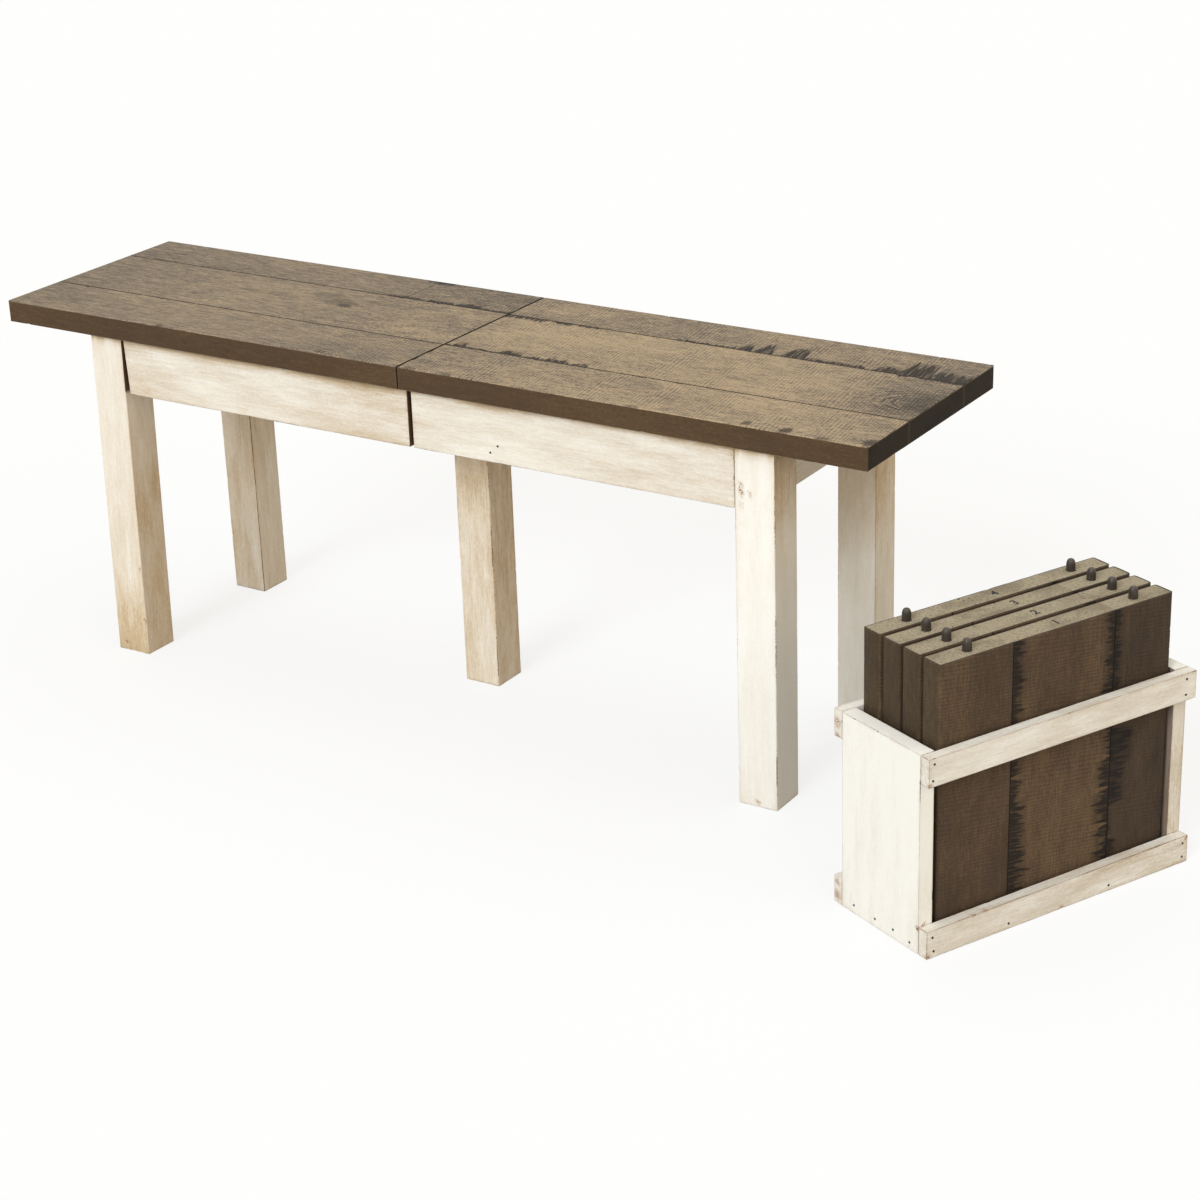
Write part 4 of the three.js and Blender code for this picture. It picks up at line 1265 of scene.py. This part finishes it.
# Seam stain on the front leaf's three boards. The other leaves have it a little elsewhere.
LEAF_STREAKS = (
    (),
    ((-0.01, 0.25, 26, "low"), (0.2, 0.42, 25, "low"), (0.4, 0.5, 18, "low"), (0.5, 0.66, 20, "low"),
     (0.64, 1.01, 18, "low"),
     (-0.01, 0.2, 22, "high"), (0.2, 0.34, 27, "high"), (0.34, 0.46, 23, "high"),
     (0.46, 0.6, 15, "high"), (0.6, 1.01, 20, "high")),
    ((-0.01, 0.08, 6, "low"), (0.06, 0.14, 16, "low"), (0.14, 0.26, 7, "low"),
     (0.26, 0.42, 24, "low"), (0.4, 0.56, 34, "low"), (0.56, 0.68, 18, "low"), (0.68, 1.01, 13, "low")),
)
# Tone of each leaf's three boards at even steps from the leaf's lower edge.
LEAF_TONES = ((-0.15, 0.0, 0.05, 0.1), (0.3, 0.45, 0.15, 0.1), (-0.3, -0.35, -0.3, -0.25))


class Leaves(bpy.types.Operator):
    """Builds the four loose leaves"""
    bl_idname = "extension_bench.leaves"
    bl_label = "Leaves"

    # Where the even mesh starts, how round the corners are and where the mesh is cut for that.
    ease, corner = 3.2 * MM, 4.5 * MM
    corner_shares = (0.1, 0.3, 0.6)
    seam_line = 0.05 * MM
    nick_depth = 0.5 * MM
    saw_strength = 0.32

    def execute(self, context):
        for number in LEAVES:
            self.leaf(context.scene.bench_seat, number)
        return {"FINISHED"}

    def leaf(self, look, number):
        """One leaf of three boards, as wide as the seat's."""
        node = f"leaf_{number}_panel"
        shape = merged_copy(node, crate_turn)
        low, high = extent(shape)
        seams = self.seams(low, high)
        cut_at(shape, X, even_places(low.x, high.x, look.wide_step, self.ease))
        cut_at(shape, X, [seam + side * self.seam_line for seam in seams for side in (-1, 1)])
        for inwards in (share * self.corner for share in self.corner_shares):
            for axis in (X, Y):
                cut_at(shape, axis, [low[axis] + inwards, high[axis] - inwards])
        cut_at(shape, Y, even_places(low.y, high.y, look.wide_step, self.ease))
        cut_at(shape, Z, [low.z + self.ease, high.z - self.ease])
        cut_lengthways(shape, Z, look.saw_pitch / 3, 2 * self.ease)
        for side_x in (-1, 1):
            for side_y in (-1, 1):
                round_corner(shape, side_x, side_y, self.corner)
        shape.normal_update()
        number_in_all = LEAF_NUMBERS + number
        weather(shape, Z, Y, number_in_all, self.nick_depth, look.saw_pitch, look.saw_depth)
        rows, tones = self.own_marks(number)
        write_place(shape, Z, Y, place_of(number_in_all), tones, seams)
        write_stain(shape, Z, Y, rows, lambda share: self.saw_strength, seams)
        finish_piece(shape, f"leaf_{number}_boards", node, made_once("leaf", leaf_stains), Z, Y,
                     crate_turn)

    @staticmethod
    def seams(low, high):
        """Where the leaf's boards meet, from the widths of the seat's boards."""
        front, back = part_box("left_front_board"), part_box("left_back_board")
        board_gap = (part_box("left_middle_board")[0].y - front[1].y) / 2
        return (low.x + front[1].y - front[0].y + board_gap,
                high.x - (back[1].y - back[0].y + board_gap))

    @staticmethod
    def own_marks(number):
        """The streaks and tones of one leaf: the front one's are those that are listed."""
        if number == LEAVES[0]:
            return [Streaks(row) for row in LEAF_STREAKS], LEAF_TONES
        draw = random.Random(SEED + STREAK_NUMBERS + number)
        rows = []
        for board in LEAF_STREAKS:
            moved = []
            for start, end, reach, edge in board:
                shift = draw.uniform(-0.12, 0.12)
                moved.append((start + shift, end + shift, reach * draw.uniform(0.0, 1.2), edge))
            rows.append(Streaks(moved))
        tones = [[tone + draw.uniform(-0.2, 0.2) for tone in board] for board in LEAF_TONES]
        return rows, tones


class Pins(bpy.types.Operator):
    """Turns the bullet-nosed pins of the leaves and of the seat"""
    bl_idname = "extension_bench.pins"
    bl_label = "Pins"

    nose_steps, sides = 7, 32
    chamfer = 0.5 * MM
    # The nose's length and the flat tip's radius, as shares of the pin's radius.
    nose_share, tip_share = 1.4, 0.4

    def execute(self, context):
        nodes = [(f"leaf_{number}_{side}_pin", Z) for number in LEAVES for side in SIDES]
        nodes += [(f"{face}_seat_pin", X) for face in FACES]
        for number, (node, axis) in enumerate(nodes):
            self.turn_pin(node, axis, number, context.scene.bench_leaf)
        return {"FINISHED"}

    def turn_pin(self, node, axis, number, look):
        """A pin along one axis. The seat's pins point to the left."""
        low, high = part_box(node)
        radius, length = min(high - low) / 2, (high - low)[axis]
        shape = bmesh.new()
        verts = [shape.verts.new((r, 0.0, z)) for r, z in self.profile(radius, length)]
        edges = [shape.edges.new(pair) for pair in zip(verts, verts[1:])]
        bmesh.ops.spin(shape, geom=verts + edges, axis=(0, 0, 1), cent=(0, 0, 0), steps=self.sides,
                       angle=2 * math.pi, use_merge=True)
        bmesh.ops.remove_doubles(shape, verts=shape.verts, dist=WELD * 10)
        bmesh.ops.recalc_face_normals(shape, faces=shape.faces)
        place_layer = shape.verts.layers.float_vector.new("place")
        edge_layer = shape.verts.layers.float.new("near_edge")
        shift = place_of(PIN_NUMBERS + number)
        for vert in shape.verts:
            vert[place_layer] = Vector((vert.co.z, vert.co.x, vert.co.y)) + shift
            vert[edge_layer] = length - vert.co.z
        foot = (low + high) / 2
        foot[axis] = high.x if axis == X else low.z
        if axis == X:
            bmesh.ops.rotate(shape, matrix=Matrix.Rotation(-math.pi / 2, 3, "Y"), verts=shape.verts)
        bmesh.ops.translate(shape, vec=foot, verts=shape.verts)
        new_piece(shape, f"{node}_turned", [made_once("pin", pin_material, look)],
                  frame["nodes"][node]["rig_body"], node)

    def profile(self, radius, length):
        """Half the pin's outline from its foot to its tip: radius and height."""
        nose, tip = self.nose_share * radius, self.tip_share * radius
        outline = [(0.0, 0.0), (radius - self.chamfer, 0.0), (radius, self.chamfer),
                   (radius, length - nose)]
        for step in range(1, self.nose_steps + 1):
            turn = math.pi / 2 * step / self.nose_steps
            outline.append((tip + (radius - tip) * math.cos(turn), length - nose + nose * math.sin(turn)))
        return outline + [(0.0, length)]


# Painted pieces: how round an arris is, where the even mesh starts, how deep nicks and hollows
# are, and how much wider the mesh is across the grain.
PAINTED_SOFTNESS, PAINTED_MARGIN = 1.0 * MM, 2.2 * MM
PAINTED_NICK, PAINTED_SAG = 0.5 * MM, 0.12 * MM
WIDER_STEP = 1.2
# The glaze and the arris line of the pieces that aren't listed.
USUAL_GLAZE, USUAL_LINE = (0.25,), 0.3


def painted_piece(context, node, grain_axis, wide_axis, number, kind, turn=0.0, joint_and_shade=None):
    """A painted board or post, softened, meshed finely and a little uneven."""
    look = context.scene.bench_paint
    shape = merged_copy(node, turn)
    soften(shape, PAINTED_SOFTNESS)
    low, high = extent(shape)
    for axis in (X, Y, Z):
        step = look.step if axis == grain_axis else look.step * WIDER_STEP
        cut_at(shape, axis, even_places(low[axis], high[axis], step, PAINTED_MARGIN))
    shape.normal_update()
    number_in_all = PAINTED_NUMBERS + number
    weather(shape, grain_axis, wide_axis, number_in_all, PAINTED_NICK, sag=PAINTED_SAG)
    write_place(shape, grain_axis, wide_axis, place_of(number_in_all),
                [GLAZE_AND_SHADE_SHARES.get(node, USUAL_GLAZE)], side_tone_and_shade=RIGHT_SIDE_GLAZE_AND_SHADE.get(node))
    write_wear(shape, turn, ARRIS_LINES.get(node, USUAL_LINE), joint_and_shade)
    paint = made_once(kind, paint_material, kind, look, *PAINT_KINDS[kind])
    finish_piece(shape, f"{node}_painted", node, [paint], grain_axis, wide_axis, turn)


class Legs(bpy.types.Operator):
    """Builds the four corner legs and the centre leg"""
    bl_idname = "extension_bench.legs"
    bl_label = "Legs"

    shoulder_width = 6 * MM

    def execute(self, context):
        nodes = [f"{side}_{face}_leg" for side, face in CORNERS] + ["centre_leg"]
        for number, node in enumerate(nodes):
            joint_and_shade = self.open_joint() if node == "left_front_leg" else None
            painted_piece(context, node, Z, Y, number, "leg paint", joint_and_shade=joint_and_shade)
        return {"FINISHED"}

    def open_joint(self):
        """Tells where the left front leg's inner side lies behind the apron's open shoulder."""
        leg_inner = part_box("left_front_leg")[1].x
        apron_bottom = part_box("left_front_apron")[0].z

        def is_behind(point, normal):
            beside = point.x > leg_inner - self.shoulder_width and point.z > apron_bottom + MM
            return 1.0 if beside and normal.x > FACING else 0.0
        return is_behind


class Aprons(bpy.types.Operator):
    """Builds the front, back and end aprons"""
    bl_idname = "extension_bench.aprons"
    bl_label = "Aprons"

    dark_until = 200 * MM

    def execute(self, context):
        for number, (side, face) in enumerate(CORNERS, start=10):
            painted_piece(context, f"{side}_{face}_apron", X, Y, number, "apron paint",
                          joint_and_shade=self.dark_end)
        for number, side in enumerate(SIDES, start=20):
            painted_piece(context, f"{side}_end_apron", Y, X, number, "apron paint")
        return {"FINISHED"}

    def dark_end(self, point, normal):
        """The ends are left dark, all but the right half's tight shoulders."""
        return 1.0 if abs(normal.x) > FACING and point.x < split_x + self.dark_until else 0.0


class Crate(bpy.types.Operator):
    """Builds the slatted crate"""
    bl_idname = "extension_bench.crate"
    bl_label = "Crate"

    # How dark the ends' inner sides are painted, as shade beside the leaves.
    inner_brown = 0.8

    def execute(self, context):
        slats = [f"crate_{face}_{level}_slat" for face in FACES for level in ("bottom", "top")]
        for number, side in enumerate(SIDES, start=30):
            painted_piece(context, f"crate_{side}_end", Z, X, number, "crate paint", crate_turn,
                          self.inner_face(1 if side == "left" else -1))
        for number, node in enumerate(slats, start=40):
            painted_piece(context, node, X, Y, number, "crate paint", crate_turn)
        painted_piece(context, "crate_bottom_board", X, Z, 50, "crate paint", crate_turn)
        return {"FINISHED"}

    def inner_face(self, towards):
        """Tells the side of an end that faces the leaves, which is painted brown as shade."""
        def is_inner(point, normal):
            return self.inner_brown if normal.x * towards > FACING else 0.0
        return is_inner


MAPLE_SOFTNESS = 0.6 * MM


def maple_piece(node, grain_axis, wide_axis, number, turn=0.0):
    """A piece of bare maple, softened."""
    shape = merged_copy(node, turn)
    soften(shape, MAPLE_SOFTNESS)
    write_place(shape, grain_axis, wide_axis, place_of(MAPLE_NUMBERS + number))
    finish_piece(shape, f"{node}_maple", node, [made_once("maple", maple_material)], grain_axis,
                 wide_axis, turn)


class Slides(bpy.types.Operator):
    """Builds the ten dovetailed rails and the cross block"""
    bl_idname = "extension_bench.slides"
    bl_label = "Slides"

    def execute(self, context):
        rails = ["left_outer", "left_inner", "centre", "right_inner", "right_outer"]
        nodes = [f"{face}_{rail}_rail" for face in FACES for rail in rails]
        for number, node in enumerate(nodes):
            maple_piece(node, X, Y, number)
        maple_piece("cross_block", Y, Z, len(nodes))
        return {"FINISHED"}


class CornerFixings(bpy.types.Operator):
    """Builds the corner braces and the bolts that hold the legs"""
    bl_idname = "extension_bench.corner_fixings"
    bl_label = "Corner fixings"

    bolt_softness = 0.3 * MM

    def execute(self, context):
        for number, (side, face) in enumerate(CORNERS, start=20):
            turn = -math.pi / 4 if (side == "left") == (face == "front") else math.pi / 4
            maple_piece(f"{side}_{face}_corner_brace", X, Y, number, turn)
            self.bolt(f"{side}_{face}_corner_bolt")
        return {"FINISHED"}

    def bolt(self, node):
        shape = merged_copy(node, 0.0)
        soften(shape, self.bolt_softness)
        shape.normal_update()
        new_piece(shape, f"{node}_zinc", [made_once("zinc", zinc_material)],
                  frame["nodes"][node]["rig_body"], node)


class SmallFasteners(bpy.types.Operator):
    """Sets the brads of the crate and two drops of putty on the right front apron"""
    bl_idname = "extension_bench.small_fasteners"
    bl_label = "Small fasteners"

    tint = colour(44, 32, 24)

    # Brads in the crate's own axes: along its front or its end, and up from the floor. Putty is
    # placed from the middle of the bench.
    slat_brads = ((6.7, 220), (5, 202), (345.7, 220), (345.3, 202), (7.3, 24), (9, 7.7),
                  (108.7, 6.7), (246.7, 7), (352.3, 24), (352.3, 7.7))
    end_brads = ((14, 8.3), (41, 10.8), (71, 9.8), (106.5, 10))
    putty = ((119.3, 370.7), (130, 380))

    def execute(self, context):
        putty = made_once("putty", plain_dark_material, "putty", self.tint)
        to_left, to_right = Vector((-1, 0, 0)), Vector((1, 0, 0))
        to_front, to_back = Vector((0, -1, 0)), Vector((0, 1, 0))
        low, high = local_box([f"crate_{face}_bottom_slat" for face in FACES], crate_turn)
        shape = bmesh.new()
        for sideways, up in self.slat_brads:
            self.dot(shape, Vector((low.x + sideways * MM, low.y, up * MM)), to_front)
            self.dot(shape, Vector((high.x - sideways * MM, high.y, up * MM)), to_back)
        end_front = local_box(["crate_left_end"], crate_turn)[0].y
        for sideways, up in self.end_brads:
            self.dot(shape, Vector((low.x, end_front + sideways * MM, up * MM)), to_left)
            self.dot(shape, Vector((high.x, end_front + sideways * MM, up * MM)), to_right)
        bmesh.ops.rotate(shape, matrix=Matrix.Rotation(crate_turn, 3, "Z"), verts=shape.verts)
        new_piece(shape, "crate_brads", [putty], "crate")
        shape = bmesh.new()
        apron_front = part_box("right_front_apron")[0].y
        for sideways, up in self.putty:
            self.dot(shape, Vector((split_x + sideways * MM, apron_front, up * MM)), to_front)
        new_piece(shape, "apron_putty_drops", [putty], "right_half")
        return {"FINISHED"}

    @staticmethod
    def dot(shape, centre, outwards):
        """A small dished disc that stands just proud of a face."""
        radius, proud, sunk, rim, dish = 1.35 * MM, 0.3 * MM, 1.5 * MM, 0.3 * MM, 0.08 * MM
        turn = outwards.to_track_quat("Z", "Y").to_matrix().to_4x4()
        place = Matrix.Translation(centre + outwards * (proud - sunk) / 2) @ turn
        made = bmesh.ops.create_cone(shape, cap_ends=True, segments=14, radius1=radius,
                                     radius2=radius, depth=proud + sunk, matrix=place)
        cap = {face for vert in made["verts"] for face in vert.link_faces
               if face.normal.dot(outwards) > 0.9 and len(face.verts) > 4}
        bmesh.ops.inset_region(shape, faces=list(cap), thickness=rim)
        middle = [vert for face in cap for vert in face.verts]
        bmesh.ops.translate(shape, vec=-outwards * dish, verts=middle)


class LeafNumbers(bpy.types.Operator):
    """Stamps a plain number on the top of each leaf"""
    bl_idname = "extension_bench.leaf_numbers"
    bl_label = "Leaf numbers"

    tint = colour(34, 30, 26)
    from_left, height = 163 * MM, 15.4 * MM
    thickness, boldness = 0.12 * MM, 0.33 * MM

    def execute(self, context):
        for number in LEAVES:
            self.stamp(number)
        return {"FINISHED"}

    def stamp(self, number):
        """A flat number, raised a little, on the top of a leaf."""
        low, high = local_box([f"leaf_{number}_panel"], crate_turn)
        text = bpy.data.curves.new(f"leaf_{number}_mark", "FONT")
        text.body = str(number)
        text.size = self.height
        text.align_x = "CENTER"
        text.align_y = "CENTER"
        text.extrude = self.thickness
        text.offset = self.boldness
        holder = bpy.data.objects.new(f"leaf_{number}_mark_text", text)
        bpy.context.scene.collection.objects.link(holder)
        graph = bpy.context.evaluated_depsgraph_get()
        shape = bmesh.new()
        shape.from_mesh(holder.evaluated_get(graph).to_mesh())
        bpy.data.objects.remove(holder)
        bmesh.ops.remove_doubles(shape, verts=shape.verts, dist=WELD)
        place = Matrix.Rotation(crate_turn, 4, "Z") @ Matrix.Translation(
            (low.x + self.from_left, (low.y + high.y) / 2, high.z))
        bmesh.ops.transform(shape, matrix=place, verts=shape.verts)
        ink = made_once("ink", plain_dark_material, "stamp ink", self.tint)
        new_piece(shape, f"leaf_{number}_number", [ink], f"leaf_{number}")


class Stage(bpy.types.Operator):
    """Lays the floor, lights it and sets the camera"""
    bl_idname = "extension_bench.stage"
    bl_label = "Stage"

    # The camera's place from the middle of the bench, its angles in degrees, and its lens and
    # sensor in millimetres.
    camera_place = (1848.354 * MM, -2589.044 * MM, 1429.407 * MM)
    camera_yaw, camera_pitch, camera_roll = 33.121, -22.702, -2.049
    lens, sensor = 82.497, 36.0
    farthest_seen = 100
    floor_radius = 9.0

    # Where each lamp shines from, how wide it looks, in degrees, and how far off they all stand.
    key_from, fill_from, top_from = (0.0, -0.86, 0.5), (0.9, -0.45, 0.35), (0.05, 0.25, 1.0)
    key_width, fill_width, top_width = 26, 50, 60
    lamp_distance = 3
    # The share of plain white in the floor that is seen. The rest takes the shadows.
    paper_glow = 0.78

    def execute(self, context):
        look = context.scene.bench_stage
        self.floor(look)
        self.sky(context, look)
        self.lamp("key lamp", self.key_from, look.key, self.key_width, look.key_tint)
        self.lamp("fill lamp", self.fill_from, look.fill, self.fill_width, look.fill_tint)
        self.lamp("top lamp", self.top_from, look.top, self.top_width, look.key_tint)
        self.camera(context)
        context.scene.view_settings.view_transform = "Standard"
        return {"FINISHED"}

    def floor(self, look):
        """A round floor that looks like white paper and gives its colour to the light."""
        material, wire, shader = new_material("floor")
        wire.feed(shader.inputs["Base Color"], opaque(look.floor))
        shader.inputs["Roughness"].default_value = 0.9
        shader.inputs["Specular IOR Level"].default_value = 0.0
        glow = wire.add("ShaderNodeEmission", {"Color": WHITE, "Strength": 1.0})
        paper = wire.add("ShaderNodeBsdfDiffuse", {"Color": PAPER})
        seen = wire.add("ShaderNodeMixShader",
                        {0: self.paper_glow, 1: paper.outputs[0], 2: glow.outputs[0]})
        both = wire.add("ShaderNodeMixShader",
                        {0: wire.seen_directly(), 1: shader.outputs[0], 2: seen.outputs[0]})
        wire.feed(material.node_tree.nodes["Material Output"].inputs["Surface"], both.outputs[0])
        shape = bmesh.new()
        bmesh.ops.create_circle(shape, cap_ends=True, segments=96, radius=self.floor_radius)
        mesh = bpy.data.meshes.new("floor")
        shape.to_mesh(mesh)
        shape.free()
        mesh.materials.append(material)
        floor = bpy.data.objects.new("floor", mesh)
        floor.location.z = FLOOR_LEVEL
        bpy.context.scene.collection.objects.link(floor)

    @staticmethod
    def sky(context, look):
        """White where it is seen, and a plain tinted light all round for the rest."""
        world = bpy.data.worlds.new("studio")
        context.scene.world = world
        world.use_nodes = True
        wire = Wiring(world.node_tree)
        background = world.node_tree.nodes["Background"]
        direct = wire.seen_directly()
        wire.feed(background.inputs["Color"], wire.mix(direct, opaque(look.sky_tint), WHITE))
        wire.feed(background.inputs["Strength"], wire.step(direct, 0.0, 1.0, look.sky, 1.0))

    def lamp(self, name, towards, strength, width, tint):
        """A broad, even lamp that shines from the given direction."""
        light = bpy.data.lights.new(name, "SUN")
        light.energy = strength
        light.color = tint
        light.angle = math.radians(width)
        lamp = bpy.data.objects.new(name, light)
        lamp.rotation_mode = "QUATERNION"
        lamp.rotation_quaternion = Vector(towards).to_track_quat("Z", "Y")
        lamp.location = Vector(towards) * self.lamp_distance
        bpy.context.scene.collection.objects.link(lamp)

    def camera(self, context):
        """The photograph's own view of the bench."""
        yaw, pitch, roll = (math.radians(angle) for angle in
                            (self.camera_yaw, self.camera_pitch, self.camera_roll))
        ahead = Vector((-math.sin(yaw) * math.cos(pitch), math.cos(yaw) * math.cos(pitch),
                        math.sin(pitch)))
        right = ahead.cross(Vector((0, 0, 1))).normalized()
        up = right.cross(ahead)
        rolled_right = math.cos(roll) * right + math.sin(roll) * up
        rolled_up = math.cos(roll) * up - math.sin(roll) * right
        view = bpy.data.cameras.new("photo view")
        view.lens = self.lens
        view.sensor_width = self.sensor
        view.clip_end = self.farthest_seen
        camera = bpy.data.objects.new("photo view", view)
        columns = Matrix((rolled_right, rolled_up, -ahead)).transposed()
        place = Vector(self.camera_place) + Vector((split_x, 0, 0))
        camera.matrix_world = Matrix.Translation(place) @ columns.to_4x4()
        context.scene.collection.objects.link(camera)
        context.scene.camera = camera


OPERATORS = (SeatBoards, Leaves, Pins, Legs, Aprons, Slides, CornerFixings, Crate, SmallFasteners,
             LeafNumbers, Stage)
LOOKS = {"bench_seat": SeatLook, "bench_leaf": LeafLook, "bench_paint": PaintLook,
         "bench_stage": StageLook}


class BenchPanel(bpy.types.Panel):
    """Lists the bench's finishes and the steps that build it"""
    bl_idname = "VIEW3D_PT_extension_bench"
    bl_label = "Extension bench"
    bl_space_type = "VIEW_3D"
    bl_region_type = "UI"
    bl_category = "Bench"

    def draw(self, context):
        for operator in OPERATORS:
            self.layout.operator(operator.bl_idname)
        for name, look in LOOKS.items():
            box = self.layout.box()
            box.label(text=look.__doc__)
            for field in look.__annotations__:
                box.prop(getattr(context.scene, name), field)


def register():
    for look in LOOKS.values():
        bpy.utils.register_class(look)
    for operator in (*OPERATORS, BenchPanel):
        bpy.utils.register_class(operator)
    for name, look in LOOKS.items():
        setattr(bpy.types.Scene, name, PointerProperty(type=look))


def unregister():
    for name in LOOKS:
        delattr(bpy.types.Scene, name)
    for cls in reversed((*LOOKS.values(), *OPERATORS, BenchPanel)):
        bpy.utils.unregister_class(cls)


def main():
    register()
    for operator in OPERATORS:
        group, name = operator.bl_idname.split(".")
        getattr(getattr(bpy.ops, group), name)()


if __name__ == "__main__":
    main()
